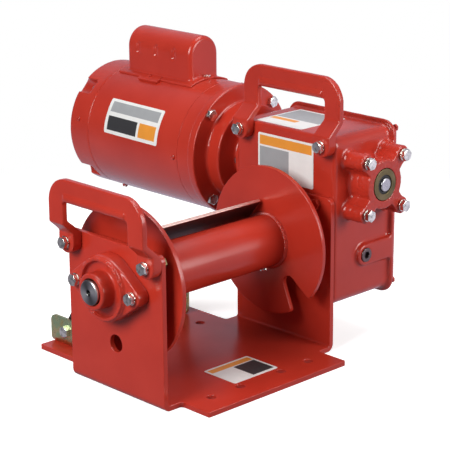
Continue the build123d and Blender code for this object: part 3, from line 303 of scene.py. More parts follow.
# %% Red enamel for plate and for castings
def red_enamel(name, peel_depth, skin_depth):
    """Glossy red paint with orange peel, and with a cast skin under it if asked."""
    finish, net, shader, where = start_finish(name, 0.0, 0.3)
    drift = grain(net, where, 14, 3)
    colour = shades(net, drift, [
        (0.3, (0.450, 0.030, 0.016, 1)),
        (0.5, (0.490, 0.034, 0.018, 1)),
        (0.7, (0.525, 0.039, 0.021, 1)),
    ])
    net.links.new(colour, shader.inputs["Base Color"])
    net.links.new(spread(net, grain(net, where, 20, 1), 0.20, 0.26), shader.inputs["Roughness"])
    heights = [(grain(net, where, 260, 1), 0.3, peel_depth)]
    if skin_depth:
        heights.append((grain(net, where, 900, 3), 0.5, skin_depth))
    emboss(net, shader, heights)
    return finish


enamel_plate = red_enamel("red enamel on plate", 0.00003, 0)
enamel_cast = red_enamel("red enamel on castings", 0.00004, 0.00004)
print("enamels", enamel_plate.name, "and", enamel_cast.name)

# %% [markdown]
# Plated and bare metal. Bright zinc is pale grey, mottled in patches of a few millimetres. Yellow zinc is
# the olive and gold rainbow of a chromate bath, so its colour follows slow noise through several tints,
# and the brown plating is the same bath gone dull; on the nuts behind the outboard plate it is painted
# shade. Bare steel is turned, with fine lines round the drum's axis.


# %% Zinc, steel, bronze and copper
def plain_metal(name, stops, rough_low, rough_high, stretch=None, cloud=60, scratch=700):
    """Metal whose tint follows slow clouds, with fine brushed scratches."""
    finish, net, shader, where = start_finish(name, 1.0, rough_low)
    net.links.new(shades(net, grain(net, where, cloud, 3), stops), shader.inputs["Base Color"])
    fine = grain(net, where, scratch, 3, stretch)
    net.links.new(spread(net, fine, rough_low, rough_high), shader.inputs["Roughness"])
    emboss(net, shader, [(fine, 0.25, 0.00004)])
    return finish


bright_zinc = plain_metal("bright zinc", [
    (0.3, (0.46, 0.47, 0.42, 1)), (0.5, (0.82, 0.82, 0.75, 1)), (0.7, (0.97, 0.96, 0.88, 1)),
], 0.12, 0.26, cloud=230)
yellow_zinc = plain_metal("yellow zinc", [
    (0.25, (0.34, 0.36, 0.16, 1)), (0.42, (0.56, 0.50, 0.22, 1)), (0.52, (0.42, 0.56, 0.32, 1)),
    (0.62, (0.64, 0.56, 0.28, 1)), (0.78, (0.46, 0.34, 0.30, 1)),
], 0.24, 0.40, cloud=48)
brown_zinc_and_nut_shade = plain_metal("brown zinc and painted nut shade", [
    (0.25, (0.10, 0.085, 0.040, 1)), (0.5, (0.17, 0.135, 0.065, 1)), (0.75, (0.22, 0.17, 0.095, 1)),
], 0.28, 0.46, cloud=90)
turned_steel = plain_metal("turned steel", [
    (0.3, (0.46, 0.46, 0.47, 1)), (0.7, (0.66, 0.66, 0.67, 1)),
], 0.16, 0.34, stretch=(12, 1, 1), scratch=420)
core_steel = plain_metal("stamped core steel", [
    (0.3, (0.22, 0.22, 0.24, 1)), (0.7, (0.34, 0.34, 0.36, 1)),
], 0.35, 0.55, stretch=(1, 14, 1), scratch=300)
bronze = plain_metal("worm wheel bronze", [
    (0.3, (0.50, 0.31, 0.13, 1)), (0.7, (0.66, 0.44, 0.20, 1)),
], 0.25, 0.40)
copper_wire = plain_metal("enamelled copper wire", [
    (0.3, (0.46, 0.17, 0.07, 1)), (0.7, (0.66, 0.28, 0.12, 1)),
], 0.25, 0.45, stretch=(1, 6, 1), scratch=500)
plain_can = plain_metal("drawn aluminium can", [
    (0.3, (0.62, 0.62, 0.64, 1)), (0.7, (0.78, 0.78, 0.79, 1)),
], 0.28, 0.42)
black_steel = plain_metal("blackened steel", [
    (0.3, (0.12, 0.085, 0.085, 1)), (0.7, (0.18, 0.13, 0.13, 1)),
], 0.30, 0.46, stretch=(0.2, 1, 1), scratch=500)
print("metals", [m.name for m in (bright_zinc, yellow_zinc, brown_zinc_and_nut_shade, turned_steel, black_steel)])
print("inner metals", [m.name for m in (core_steel, bronze, copper_wire, plain_can)])

# %% [markdown]
# Rubber and plastic. The shaft seal is matt black rubber with a slight bloom, the motor's fan a harder
# black plastic with a moulded grain.


# %% Black rubber and plastic
def black_moulding(name, shade, rough_low, rough_high, depth):
    """Dark moulded material with a fine grain."""
    finish, net, shader, where = start_finish(name, 0.0, rough_low)
    cloud = grain(net, where, 80, 3)
    lighter = tuple(2.2 * c for c in shade) + (1,)
    net.links.new(shades(net, cloud, [(0.3, shade + (1,)), (0.7, lighter)]), shader.inputs["Base Color"])
    fine = grain(net, where, 1400, 2)
    net.links.new(spread(net, fine, rough_low, rough_high), shader.inputs["Roughness"])
    emboss(net, shader, [(fine, 0.3, depth)])
    return finish


black_rubber = black_moulding("black rubber", (0.010, 0.010, 0.011), 0.55, 0.75, 0.00006)
black_plastic = black_moulding("black plastic", (0.012, 0.012, 0.013), 0.30, 0.45, 0.00004)
print("mouldings", black_rubber.name, "and", black_plastic.name)

# %% Finish of every node, by its slot
finish_of_slot = {
    "red_enamel_steel": enamel_plate, "red_enamel_casting": enamel_cast, "red_enamel_iron": enamel_cast,
    "bright_zinc": bright_zinc, "yellow_zinc": yellow_zinc, "bare_steel": turned_steel,
    "core_steel": core_steel, "bronze": bronze, "copper_wire": copper_wire, "black_steel": black_steel,
    "black_rubber": black_rubber, "plain_can": plain_can, "black_plastic": black_plastic,
}
for name, node in nodes.items():
    node.data.materials.clear()
    node.data.materials.append(finish_of_slot[slot_of_node[name]])
print("finishes", len(finish_of_slot))

# %% [markdown]
# Real edges. A sheared plate, a turned hub and a rolled shell never end in a knife edge, and it is the
# thin line of light along a rounded edge that makes metal look like metal. Each piece is copied from
# the frame, its triangles are merged back into whole faces, and every sharp edge gets a round of the
# size that its making leaves. The copy then stands for the node, in the same place, on the same body.


# %% Helpers that stand a piece in the scene
join_within = 0.000001
flat_within = radians(0.6)


def merged(node):
    """Copy of a node's mesh with its loose triangles joined."""
    shape = bmesh.new()
    shape.from_mesh(nodes[node].data)
    bmesh.ops.remove_doubles(shape, verts=shape.verts, dist=2 * join_within)
    return shape


def whole_faces(node):
    """Copy of a node's mesh with its flat faces made whole."""
    shape = merged(node)
    bmesh.ops.dissolve_limit(shape, angle_limit=flat_within, verts=shape.verts, edges=shape.edges)
    return shape


def stand_piece(shape, name, finishes, body, slot=None, node=None, crease=50.0):
    """Turn a finished shape into an object that rides on a body, and stands for a node if one is named."""
    bmesh.ops.remove_doubles(shape, verts=shape.verts, dist=join_within)
    for face in shape.faces:
        face.smooth = True
    for edge in shape.edges:
        edge.smooth = not (len(edge.link_faces) == 2 and edge.calc_face_angle() > radians(crease))
    mesh = bpy.data.meshes.new(name)
    shape.to_mesh(mesh)
    shape.free()
    for extra in [a.name for a in mesh.attributes if a.name in ("custom_normal", "UVMap")]:
        mesh.attributes.remove(mesh.attributes[extra])
    for finish in finishes:
        mesh.materials.append(finish)
    piece = bpy.data.objects.new(name, mesh)
    bpy.context.scene.collection.objects.link(piece)
    even = piece.modifiers.new("even normals", "WEIGHTED_NORMAL")
    even.keep_sharp = True
    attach(piece, body)
    if node:
        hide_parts(node)
    return piece


def stand_for(node, shape, crease=50.0, painted=None):
    """Stand a reworked copy in a node's place, on the node's body, with the finish of its slot or of its
    paint.
    """
    slot = painted or slot_of_node[node]
    name = node + "_finished"
    piece = stand_piece(shape, name, [finish_of_slot[slot]], body_of_node[node], slot, node, crease)
    print(piece.name, "faces", len(piece.data.polygons))
    return piece


# %% Helper that rounds the edges of plate and turned work
def round_edges(shape, width, segments=3, sharper=28.0):
    """Bevel the edges that turn by more than an angle."""
    edges = [e for e in shape.edges if len(e.link_faces) == 2 and e.calc_face_angle() > radians(sharper)]
    bmesh.ops.bevel(
        shape, geom=edges, offset=width, offset_type="OFFSET", affect="EDGES", segments=segments,
        profile=0.5, material=-1, clamp_overlap=False,
    )


# %% Rounded plate, rings and rolled work
for node, width in {
    "base_frame": 0.0007, "drum_barrel": 0.0005, "motor_drive_bell": 0.0008, "motor_shell": 0.0003,
    "pressure_bar": 0.0004, "pressure_arm_outboard": 0.0006, "pressure_arm_gear": 0.0006,
    "pressure_ears": 0.0005, "drum_shaft": 0.0004, "worm_retainer": 0.0006, "worm_seal": 0.0004,
    "worm_shaft": 0.0004, "oil_plug": 0.0004, "drain_plug": 0.0004, "spring_washers": 0.0003,
    "cover_gasket": 0.0002, "rope_anchor_screw": 0.0002, "end_plate_nuts": 0.0004, "pivot_nuts": 0.0003,
}.items():
    shape = whole_faces(node)
    round_edges(shape, width)
    stand_for(node, shape)

# %% Drum flanges, whose rims the frame has already rounded
for node in ("drum_flange_outboard", "drum_flange_gear"):
    stand_for(node, whole_faces(node))

# %% [markdown]
# Castings. The handles, the bearing, the gear housing with its cover and worm cap, the motor's adapter
# and its rear bell are poured, so their inner corners are as round as their outer edges and their skin is
# never quite flat. A bevel can't give that. Instead each copy is filled with small even cells and the
# surface of the cells is smoothed a few times: every pass draws the corners rounder, and flat faces stay
# where they are. A slow noise then leaves the faint lumps of a sand mould. The rim of the outboard
# bearing is chipped as well, and the boss for the worm is lumpier than the rest.


# %% Helper for castings
rear_band = 0.00001


def softened(node, cell, passes, tuck=0.0):
    """Copy of a node on small even cells, smoothed round, with its rear face tucked into what it sits on."""
    shape = merged(node)
    back = max(v.co.y for v in shape.verts)
    for vert in shape.verts:
        if vert.co.y > back - rear_band:
            vert.co.y += tuck
    rough_mesh = bpy.data.meshes.new(node + "_rough")
    shape.to_mesh(rough_mesh)
    shape.free()
    rough = bpy.data.objects.new(node + "_rough", rough_mesh)
    bpy.context.scene.collection.objects.link(rough)
    cells = rough.modifiers.new("even cells", "REMESH")
    cells.mode = "VOXEL"
    cells.voxel_size = cell
    evaluated = rough.evaluated_get(bpy.context.evaluated_depsgraph_get())
    skin = bpy.data.meshes.new_from_object(evaluated)
    bpy.data.objects.remove(rough)
    shape = bmesh.new()
    shape.from_mesh(skin)
    for _ in range(passes):
        bmesh.ops.smooth_vert(
            shape, verts=shape.verts, factor=0.5, use_axis_x=True, use_axis_y=True, use_axis_z=True,
        )
    shape.normal_update()
    return shape


def add_lumps(shape, depth, waves, where=None):
    """Push the skin in by a noise, at most by a depth, on all of it or where a test says."""
    for vert in shape.verts:
        if where is None or where(vert.co):
            vert.co -= vert.normal * depth * (0.5 + 0.5 * noise.noise(vert.co * waves))


rim_front = -0.1535
rim_inner_r = 0.0295
rim_outer_r = 0.0385
boss_front = -0.082
boss_foot = 0.15


def on_bearing_rim(spot):
    """True near the raised rim of the outboard bearing."""
    off_axis = sqrt(spot.y ** 2 + (spot.z - drum_height) ** 2)
    return spot.x < rim_front and rim_inner_r < off_axis < rim_outer_r


def on_worm_boss(spot):
    """True on the boss in front of the gear housing."""
    return spot.y < boss_front and spot.z > boss_foot


# %% Castings, by cell size, passes, depth of lumps and tuck
mould_waves = 90
chip_depth, chip_waves = 0.0014, 420
boss_depth, boss_waves = 0.0008, 260
for node, cell, passes, lumps, tuck in (
    ("outboard_handle", 0.0009, 7, 0.0003, 0.0),
    ("gearbox_handle", 0.0009, 7, 0.0003, 0.0),
    ("bearing_housing", 0.0009, 7, 0.0005, 0.0),
    ("gear_housing", 0.0017, 3, 0.0003, 0.0),
    ("gear_cover", 0.0014, 5, 0.0003, 0.0),
    ("worm_cap", 0.0008, 7, 0.0003, 0.003),
    ("motor_adapter", 0.0013, 4, 0.0002, 0.0),
    ("motor_rear_bell", 0.0013, 5, 0.0002, 0.0),
):
    shape = softened(node, cell, passes, tuck)
    add_lumps(shape, lumps, mould_waves)
    if node == "bearing_housing":
        add_lumps(shape, chip_depth, chip_waves, on_bearing_rim)
    if node in ("gear_housing", "worm_cap"):
        add_lumps(shape, boss_depth, boss_waves, on_worm_boss)
    stand_for(node, shape)

# %% [markdown]
# A few pieces wear their own finish. The shaft end shows the rings of the lathe about its axis, with a
# painted sheen in its colour that follows the angle, and painted shade in its centre drill. The ring in
# the worm's cap has a browner plating, and the nuts behind the outboard plate take the same dark finish
# as painted shade in the gap behind the plate. The upper edge of the dark bar carries a painted highlight,
# and its foot reaches a little further down than in the frame, so that no light shows between it and the
# barrel.

# %% Turned shaft end with painted sheen and painted drill shade, brown ring, and nuts in painted shade
finish, net, shader, where = start_finish("faced shaft end", 1.0, 0.3)
about_axis = net.nodes.new("ShaderNodeMapping")
about_axis.inputs["Location"].default_value = (0, 0, -drum_height)
net.links.new(where, about_axis.inputs["Vector"])
rings = add_node(net, "ShaderNodeTexWave", Scale=420.0, Distortion=0.6, Detail=2.0)
rings.wave_type = "RINGS"
rings.rings_direction = "X"
net.links.new(about_axis.outputs["Vector"], rings.inputs["Vector"])
spot = net.nodes.new("ShaderNodeSeparateXYZ")
net.links.new(about_axis.outputs["Vector"], spot.inputs["Vector"])
swing = math_node(net, "ARCTAN2", spot.outputs["Z"], spot.outputs["Y"])
# Painted sheen: the colour turns light and dark with the angle round the axis, standing in for the
# reflection of a faced end.
painted_sheen = math_node(net, "COSINE", math_node(net, "MULTIPLY_ADD", swing, 2.0, 0.9))
pale = shades(net, math_node(net, "MULTIPLY_ADD", painted_sheen, 0.5, 0.5), [
    (0.0, (0.16, 0.16, 0.16, 1)), (0.6, (0.48, 0.48, 0.48, 1)), (1.0, (0.78, 0.78, 0.74, 1)),
])
off_axis = math_node(net, "SQRT", math_node(net, "ADD", *(
    math_node(net, "MULTIPLY", spot.outputs[k], spot.outputs[k]) for k in ("Y", "Z")
)))
# Painted shade: the colour darkens in the centre drill's hollow, dark to three millimetres from the axis and
# fading out by 4.2.
centimetres = math_node(net, "MULTIPLY", off_axis, 100.0)
painted_drill_shade = shades(net, centimetres, [(0.30, (0.05, 0.05, 0.05, 1)), (0.42, (1, 1, 1, 1))])
# The painted sheen is multiplied by the painted shade of the centre drill.
tint = net.nodes.new("ShaderNodeMix")
tint.data_type = "RGBA"
tint.blend_type = "MULTIPLY"
tint.inputs["Factor"].default_value = 1.0
net.links.new(pale, tint.inputs["A"])
net.links.new(painted_drill_shade, tint.inputs["B"])
net.links.new(tint.outputs["Result"], shader.inputs["Base Color"])
emboss(net, shader, [(rings.outputs["Fac"], 0.35, 0.00003)])
# The ring in the worm's cap has the brown finish as its own plating; the nuts behind the outboard plate get
# it as painted shade in the gap behind the plate.
for node, own_finish in {
    "drum_shaft": finish, "worm_retainer": brown_zinc_and_nut_shade, "end_plate_nuts": brown_zinc_and_nut_shade,
}.items():
    bpy.data.objects[node + "_finished"].data.materials[0] = own_finish
    print(node, "has", own_finish.name)

# %% Painted highlight on the upper edge of the dark bar
bar_mesh = bpy.data.objects["pressure_bar_finished"].data
bar_lean = radians(40)
bar_drop = 0.0012
bar_foot_band = 0.0012
highlight_starts, highlight_is_full = 0.0014, 0.0004
bar_up = Vector((0, -sin(bar_lean), cos(bar_lean)))
bar_top = max(v.co.dot(bar_up) for v in bar_mesh.vertices)
bar_foot = min(v.co.dot(bar_up) for v in bar_mesh.vertices)
for vert in bar_mesh.vertices:
    if vert.co.dot(bar_up) < bar_foot + bar_foot_band:
        vert.co -= bar_drop * bar_up
finish, net, shader, where = start_finish("blackened bar with a painted edge highlight", 1.0, 0.38)
# Painted highlight: the colour is lighter along the top edge of the bar, a little mottled, in place of light
# caught by the edge.
painted_edge_highlight = side_ramp(net, where, bar_up, bar_top - highlight_starts, bar_top - highlight_is_full)
mottled_edge_highlight = math_node(net, "MULTIPLY", painted_edge_highlight, spread(net, grain(net, where, 160, 3), 0.75, 1.0))
edge_highlight_tint = shades(net, mottled_edge_highlight, [(0.0, (0.21, 0.15, 0.15, 1)), (1.0, (0.80, 0.58, 0.50, 1))])
net.links.new(edge_highlight_tint, shader.inputs["Base Color"])
emboss(net, shader, [(grain(net, where, 500, 3, (0.2, 1, 1)), 0.25, 0.00004)])
bar_mesh.materials[0] = finish
print("bar has", finish.name)

# %% [markdown]
# Hex bolts. A real bolt head is turned first and gets its flats afterwards, so the top chamfer meets
# each flat in a curve. The same two steps make it here: a profile is spun into a round blank, and six
# planes cut the flats. Each bolt takes its place, size and head side from the plain solid in the frame,
# and is turned by its own amount, as nobody lines up bolts when tightening them.


# %% Read the bolts of a node
same_level = 0.00005
top_zone = 0.0005


def loose_solids(shape):
    """Groups of vertices that hang together."""
    waiting = set(shape.verts)
    while waiting:
        group = [waiting.pop()]
        for vert in group:
            for edge in vert.link_edges:
                other = edge.other_vert(vert)
                if other in waiting:
                    waiting.remove(other)
                    group.append(other)
        yield [v.co.copy() for v in group]


def centre_of(points):
    """Middle of a group's box to a tenth of a millimetre, for an order that is the same on every run."""
    return tuple(round((min(p[k] for p in points) + max(p[k] for p in points)) / 2, 4) for k in range(3))


def read_bolt(points, axis):
    """Seat, outward direction, across flats, head height, shank radius and shank length of a plain bolt."""
    low = Vector([min(p[k] for p in points) for k in range(3)])
    high = Vector([max(p[k] for p in points) for k in range(3)])
    middle = (low + high) / 2
    across = min(high[k] - low[k] for k in range(3) if k != axis)

    def reach(level):
        """Largest distance from the axis at a level along it."""
        return max(
            sqrt(sum((p[k] - middle[k]) ** 2 for k in range(3) if k != axis))
            for p in points if abs(p[axis] - level) < same_level
        )

    head_up = reach(high[axis]) > reach(low[axis])
    top, tip = (high[axis], low[axis]) if head_up else (low[axis], high[axis])
    shank = reach(tip)
    below_top = [p[axis] for p in points if abs(p[axis] - top) > top_zone]
    wide = [level for level in below_top if reach(level) > 1.05 * shank]
    under = max(wide, key=lambda level: abs(level - top))
    seat = middle.copy()
    seat[axis] = under
    out = Vector((0, 0, 0))
    out[axis] = 1 if head_up else -1
    return seat, out, across, abs(top - under), shank, abs(under - tip)


# %% Helper for turned shapes
def turned_shape(points, centre, axis, steps, closed=False):
    """Shape that a profile leaves on one turn about an axis."""
    shape = bmesh.new()
    verts = [shape.verts.new(p) for p in points]
    nexts = verts[1:] + verts[:1] if closed else verts[1:]
    edges = [shape.edges.new(pair) for pair in zip(verts, nexts)]
    bmesh.ops.spin(
        shape, geom=verts + edges, cent=centre, axis=axis, angle=2 * pi, steps=steps, use_merge=True,
    )
    bmesh.ops.remove_doubles(shape, verts=shape.verts, dist=join_within)
    bmesh.ops.recalc_face_normals(shape, faces=shape.faces)
    return shape


# %% Make a bolt and set it in place
turn_between_bolts = 0.6


def hex_bolt(across, head, shank, length):
    """Bolt on the Z axis whose head stands on the XY plane."""
    corner = across / sqrt(3)
    top_r = 0.46 * across
    slope = (corner - top_r) * 0.5
    tip = 0.15 * shank
    profile = [
        (0, head), (top_r, head), (corner, head - slope), (corner, 0), (shank, 0), (shank, tip - length),
        (shank - tip, -length), (0, -length),
    ]
    shape = turned_shape([(r, 0, z) for r, z in profile], (0, 0, 0), (0, 0, 1), 48)
    for flat in range(6):
        side = Vector((cos(flat * pi / 3), sin(flat * pi / 3), 0))
        everything = shape.verts[:] + shape.edges[:] + shape.faces[:]
        cut = bmesh.ops.bisect_plane(
            shape, geom=everything, plane_co=side * across / 2, plane_no=side, clear_outer=True,
        )
        rim = [e for e in cut["geom_cut"] if isinstance(e, bmesh.types.BMEdge)]
        bmesh.ops.holes_fill(shape, edges=rim, sides=0)
    bmesh.ops.recalc_face_normals(shape, faces=shape.faces)
    round_edges(shape, 0.018 * across, segments=2, sharper=40)
    return shape


def put_in(shape, part, place):
    """Add a finished part to a shape at a place."""
    first = len(shape.verts)
    shape.from_mesh(part)
    shape.verts.ensure_lookup_table()
    bmesh.ops.transform(shape, matrix=place, verts=shape.verts[first:])


def set_bolts(node, axis, painted=None):
    """Real bolts in place of a node's plain ones, painted over if a slot is named."""
    plain = merged(node)
    shape = bmesh.new()
    in_order = sorted(loose_solids(plain), key=centre_of)
    for index, points in enumerate(in_order):
        seat, out, across, head, shank, length = read_bolt(points, axis)
        part = bpy.data.meshes.new("bolt")
        bolt = hex_bolt(across, head, shank, length)
        bolt.to_mesh(part)
        bolt.free()
        own_turn = Matrix.Rotation(turn_between_bolts * index, 4, "Z")
        turned = out.to_track_quat("Z", "Y").to_matrix().to_4x4() @ own_turn
        put_in(shape, part, Matrix.Translation(seat) @ turned)
        bpy.data.meshes.remove(part)
    plain.free()
    return stand_for(node, shape, crease=30, painted=painted)


# %% Bolts of the machine, by the axis that they lie along
paint_of_bolts = {"cover_bolts": "red_enamel_steel", "housing_bolts": "red_enamel_steel"}
for axis, names in enumerate((
    (
        "bearing_bolts", "outboard_handle_bolts", "gearbox_handle_bolts", "cover_bolts", "housing_bolts",
        "pivot_bolts",
    ),
    ("worm_cap_bolts", "motor_face_bolts", "adapter_bolts", "through_bolts"),
    ("ear_bolts", "hood_screws"),
)):
    for node in names:
        set_bolts(node, axis, paint_of_bolts.get(node))

# %% [markdown]
# Weld beads. The drum is a tube welded to two discs, and the bead in each corner is a row of small
# overlapping ripples under the paint. A rounded profile is spun about the drum's axis, and the far side
# of the bead then swells and sinks in a steady beat.

# %% Weld beads on the drum
barrel_low, barrel_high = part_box("drum_barrel")
drum_axis = (barrel_low + barrel_high) / 2
barrel_radius = 0.03175
bead_leg = 0.0036
bead_beats = 74


def weld_bead(name, start, toward):
    """Bead in the corner between the barrel and a disc that stands at a place along X."""
    sunk = 0.0004
    hollow = 1.4
    steps_per_beat = 6
    angles = [k * pi / 12 for k in range(7)]
    outside = [(bead_leg * cos(a) ** hollow, bead_leg * sin(a) ** hollow) for a in angles]
    profile = [(-sunk, -sunk), (bead_leg, -sunk)] + outside + [(-sunk, bead_leg)]
    points = [(start + toward * along, 0, drum_axis.z + barrel_radius + up) for along, up in profile]
    centre = Vector((start, 0, drum_axis.z))
    shape = turned_shape(points, centre, (1, 0, 0), steps_per_beat * bead_beats, closed=True)
    for vert in shape.verts:
        arm = vert.co - centre
        arm.x = 0
        root = centre + arm.normalized() * barrel_radius
        turn = atan2(arm.y, arm.z)
        slow = noise.noise(arm * 60)
        beat = cos(bead_beats * turn + 4 * (vert.co.x - start) / bead_leg)
        swell = 0.80 + 0.12 * beat + 0.16 * slow
        vert.co = root + (vert.co - root) * swell
    return stand_piece(shape, name, [enamel_plate], "drum", "red_enamel_steel")


weld_bead("weld_bead_outboard", barrel_low.x, 1)
weld_bead("weld_bead_gear", barrel_high.x, -1)
print("weld beads of", bead_beats, "ripples")

# %% [markdown]
# Capacitor hood. It is drawn from thin sheet: round along all its edges, with three upright dimples on
# the side that keep the can from rattling. The copy is softened like a casting, and the dimples are
# pushed into the wall around three points.

# %% Capacitor hood
foot_ledge = 0.0075
hood_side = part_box("capacitor_hood")[0].x + foot_ledge
hood_wall_foot = 0.29
dimple_places = (0.231, 0.265, 0.299)
dimple_z = 0.3125
dimple_half = 0.0045
dimple_depth = 0.0022
dimple_width = 0.0024
wall_zone = 0.004
shape = softened("capacitor_hood", 0.0009, 3)
for vert in shape.verts:
    if vert.co.x < hood_side + wall_zone and vert.co.z > hood_wall_foot:
        for dimple_y in dimple_places:
            beyond = max(abs(vert.co.z - dimple_z) - dimple_half, 0)
            away = sqrt((vert.co.y - dimple_y) ** 2 + beyond ** 2) / dimple_width
            vert.co.x += dimple_depth / (1 + away ** 4)
stand_for("capacitor_hood", shape)

# %% [markdown]
# Small pieces on the motor: the clip that holds the foot of the hood, and the slotted screws that pin
# the shell to its bells. All are painted over with the rest. The clip is a flat strip wrapped round
# the motor's axis. A screw is a spun dome whose slot is a strip of its top pushed down.

# %% Motor axis and wrapping
shell_low, shell_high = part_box("motor_shell")
motor_axis = (shell_low + shell_high) / 2
motor_radius = (shell_high.x - shell_low.x) / 2


def on_motor(angle, along, lift=0.0):
    """Point on the motor's round side, at an angle from +X towards +Z."""
    reach = motor_radius + lift
    return Vector((motor_axis.x + reach * cos(angle), along, motor_axis.z + reach * sin(angle)))


def wrap(shape, angle, along):
    """Bend a flat shape round the motor: its X runs along the axis, its Y up the side, its Z outwards."""
    for vert in shape.verts:
        vert.co = on_motor(angle - vert.co.y / motor_radius, along - vert.co.x, vert.co.z)


def cut_rows(shape, direction, places):
    """Cut a flat shape across at several places without taking anything away."""
    for place in places:
        everything = shape.verts[:] + shape.edges[:] + shape.faces[:]
        spot = Vector(direction) * place
        bmesh.ops.bisect_plane(shape, geom=everything, plane_co=spot, plane_no=direction)


# %% Clip of the hood
sheet_corner = 0.0025


def flat_sheet(width, height):
    """Flat rectangle with round corners, in the XY plane."""
    shape = bmesh.new()
    bmesh.ops.create_grid(shape, x_segments=1, y_segments=1, size=0.5)
    bmesh.ops.scale(shape, vec=(width, height, 1), verts=shape.verts)
    bmesh.ops.bevel(
        shape, geom=shape.verts[:], offset=sheet_corner, offset_type="OFFSET", affect="VERTICES",
        segments=6, profile=0.5, material=-1,
    )
    return shape


def thicken(shape, thickness):
    """Raise a flat sheet into a closed slab."""
    raised = bmesh.ops.extrude_face_region(shape, geom=shape.faces[:])
    upper = [v for v in raised["geom"] if isinstance(v, bmesh.types.BMVert)]
    bmesh.ops.translate(shape, vec=(0, 0, thickness), verts=upper)
    bmesh.ops.recalc_face_normals(shape, faces=shape.faces)


clip_length, clip_width, clip_t = 0.038, 0.012, 0.0038
clip_edge = 0.0008
clip_rows = (-0.004, -0.002, 0.0, 0.002, 0.004)
clip_angle = radians(113.5)
clip_along = 0.2655
shape = flat_sheet(clip_length, clip_width)
cut_rows(shape, (0, 1, 0), clip_rows)
thicken(shape, clip_t)
round_edges(shape, clip_edge, segments=2, sharper=40)
wrap(shape, clip_angle, clip_along)
stand_piece(shape, "hood_clip", [enamel_plate], "frame", "red_enamel_steel")
print("clip", clip_length)


# %% Slotted screws
slot_turn = 0.7


def slotted_screw(radius, height):
    """Pan head on the XY plane with a slot across it and a skirt below the plane."""
    skirt = 0.001
    profile = [
        (radius, -skirt), (radius, 0.35 * height), (0.85 * radius, 0.75 * height), (0.5 * radius, height),
        (0, height),
    ]
    shape = turned_shape([(r, 0, z) for r, z in profile], (0, 0, 0), (0, 0, 1), 32)
    half = 0.16 * radius
    cut_rows(shape, (0, 1, 0), (-half, half))
    strip = [f for f in shape.faces if abs(f.calc_center_median().y) < half and f.normal.z > 0.3]
    sunk = bmesh.ops.extrude_face_region(shape, geom=strip)
    moved = [v for v in sunk["geom"] if isinstance(v, bmesh.types.BMVert)]
    bmesh.ops.translate(shape, vec=(0, 0, -0.45 * height), verts=moved)
    bmesh.ops.delete(shape, geom=strip, context="FACES")
    return shape


def motor_screw(name, angle, along, radius, height, lift):
    """Painted screw in the motor's side."""
    shape = slotted_screw(radius, height)
    out = Vector((cos(angle), 0, sin(angle)))
    turned = out.to_track_quat("Z", "Y").to_matrix().to_4x4()
    place = Matrix.Translation(on_motor(angle, along, lift)) @ turned @ Matrix.Rotation(slot_turn, 4, "Z")
    bmesh.ops.transform(shape, matrix=place, verts=shape.verts)
    return stand_piece(shape, name, [enamel_plate], "frame", "red_enamel_steel", crease=35)


# %% Screws of the motor, by angle, place along it, radius, height and what they stand on
motor_screws = (
    ("shell_screw_drive", 181, 0.170, 0.0036, 0.0022, 0.0),
    ("shell_screw_top", 61, 0.170, 0.0036, 0.0022, 0.0),
    ("shell_screw_far", 301, 0.170, 0.0036, 0.0022, 0.0),
    ("shell_screw_rear", 168, 0.357, 0.0030, 0.0018, 0.0),
    ("earth_screw", 250, 0.327, 0.0036, 0.0032, 0.0),
    ("clip_screw", 112, 0.268, 0.0030, 0.0020, 0.0036),
)
for name, degrees, along, radius, height, lift in motor_screws:
    motor_screw(name, radians(degrees), along, radius, height, lift)
print("motor screws", len(motor_screws))

# %% [markdown]
# Blank labels. Four vinyl sheets carry plain fields of colour. Each is a flat sheet with round corners, cut
# into fields that take their own ink, raised to its thickness and laid on its surface. The one on the motor
# is cut into narrow rows first, so that it can bend round the shell.


# %% Inks
def printed(name, tint, rough):
    """Satin printed vinyl, a little uneven in tone and gloss."""
    finish, net, shader, where = start_finish(name, 0.0, rough)
    lighter = tuple(min(1.08 * c, 0.95) for c in tint) + (1,)
    cloudy = shades(net, grain(net, where, 70, 3), [(0.3, tint + (1,)), (0.7, lighter)])
    net.links.new(cloudy, shader.inputs["Base Color"])
    net.links.new(spread(net, grain(net, where, 300, 3), rough, rough + 0.12), shader.inputs["Roughness"])
    emboss(net, shader, [(grain(net, where, 800, 2), 0.2, 0.00002)])
    return finish


white_vinyl = printed("white vinyl", (0.80, 0.80, 0.78), 0.32)
orange_ink = printed("orange ink", (0.78, 0.30, 0.035), 0.34)
grey_ink = printed("grey ink", (0.34, 0.35, 0.36), 0.36)
dark_ink = printed("dark ink", (0.030, 0.030, 0.032), 0.36)
inks = [white_vinyl, orange_ink, grey_ink, dark_ink]
orange, grey, dark = (inks.index(ink) for ink in (orange_ink, grey_ink, dark_ink))
vinyl_t = 0.0003
print("inks", [ink.name for ink in inks])


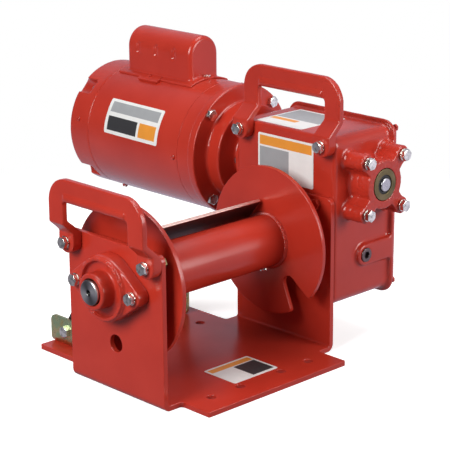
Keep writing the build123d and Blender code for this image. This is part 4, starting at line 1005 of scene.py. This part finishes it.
# %% Lay a label
def label(size, fields, rows=()):
    """Flat label with fields, each left, low, right, high as shares of the size, and an ink."""
    width, height = size
    shape = flat_sheet(width, height)
    columns = {(edge - 0.5) * width for f in fields for edge in (f[0], f[2])}
    lines = {(edge - 0.5) * height for f in fields for edge in (f[1], f[3])}
    cut_rows(shape, (1, 0, 0), sorted(columns))
    cut_rows(shape, (0, 1, 0), sorted(lines | set(rows)))
    for face in shape.faces:
        spot = face.calc_center_median()
        across, up = spot.x / width + 0.5, spot.y / height + 0.5
        for left, low, right, high, ink in fields:
            if left < across < right and low < up < high:
                face.material_index = ink
    thicken(shape, vinyl_t)
    return shape


def lay_flat(shape, name, middle, right, up):
    """Lay a flat label on a plane surface."""
    out = Vector(right).cross(Vector(up))
    turned = Matrix((Vector(right), Vector(up), out)).transposed().to_4x4()
    bmesh.ops.transform(shape, matrix=Matrix.Translation(middle) @ turned, verts=shape.verts)
    return stand_piece(shape, name, inks, "frame")


# %% Label on the motor
motor_label_angle = radians(158.7)
motor_label_along = 0.252
motor_label_slant = radians(-0.8)
row_height = 0.0015
shape = label(
    (0.103, 0.0465),
    [(0.05, 0.62, 0.95, 0.92, grey), (0.05, 0.10, 0.60, 0.50, dark), (0.64, 0.10, 0.95, 0.50, orange)],
    rows=[row_height * k for k in range(-15, 16)],
)
slant = Matrix.Rotation(motor_label_slant, 3, "Z")
bmesh.ops.rotate(shape, cent=(0, 0, 0), matrix=slant, verts=shape.verts)
wrap(shape, motor_label_angle, motor_label_along)
stand_piece(shape, "motor_label", inks, "frame")
print("motor label at", motor_label_along)

# %% Labels on the gearbox and on the base
housing_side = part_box("gear_housing")[0].x
housing_top = 0.259
base_top = 0.00635
nudge = 0.0001
flat_labels = (
    (
        "gearbox_side_label", (0.091, 0.055), (housing_side - nudge, 0.0015, 0.2195), (0, -1, 0), (0, 0, 1),
        [(0.03, 0.74, 0.97, 0.95, orange), (0.03, 0.06, 0.56, 0.70, grey)],
    ),
    (
        "gearbox_top_label", (0.075, 0.078), (0.180, 0.0195, housing_top - nudge), (0, -1, 0), (1, 0, 0),
        [(0.04, 0.42, 0.96, 0.95, grey), (0.04, 0.26, 0.60, 0.38, orange)],
    ),
    (
        "base_label", (0.0695, 0.0518), (0.00275, -0.0566, base_top), (1, 0, 0), (0, 1, 0),
        [(0.04, 0.76, 0.96, 0.94, orange), (0.48, 0.08, 0.96, 0.72, dark)],
    ),
)
for name, size, spot, right, up, fields in flat_labels:
    lay_flat(label(size, fields), name, spot, right, up)
print("flat labels", len(flat_labels))
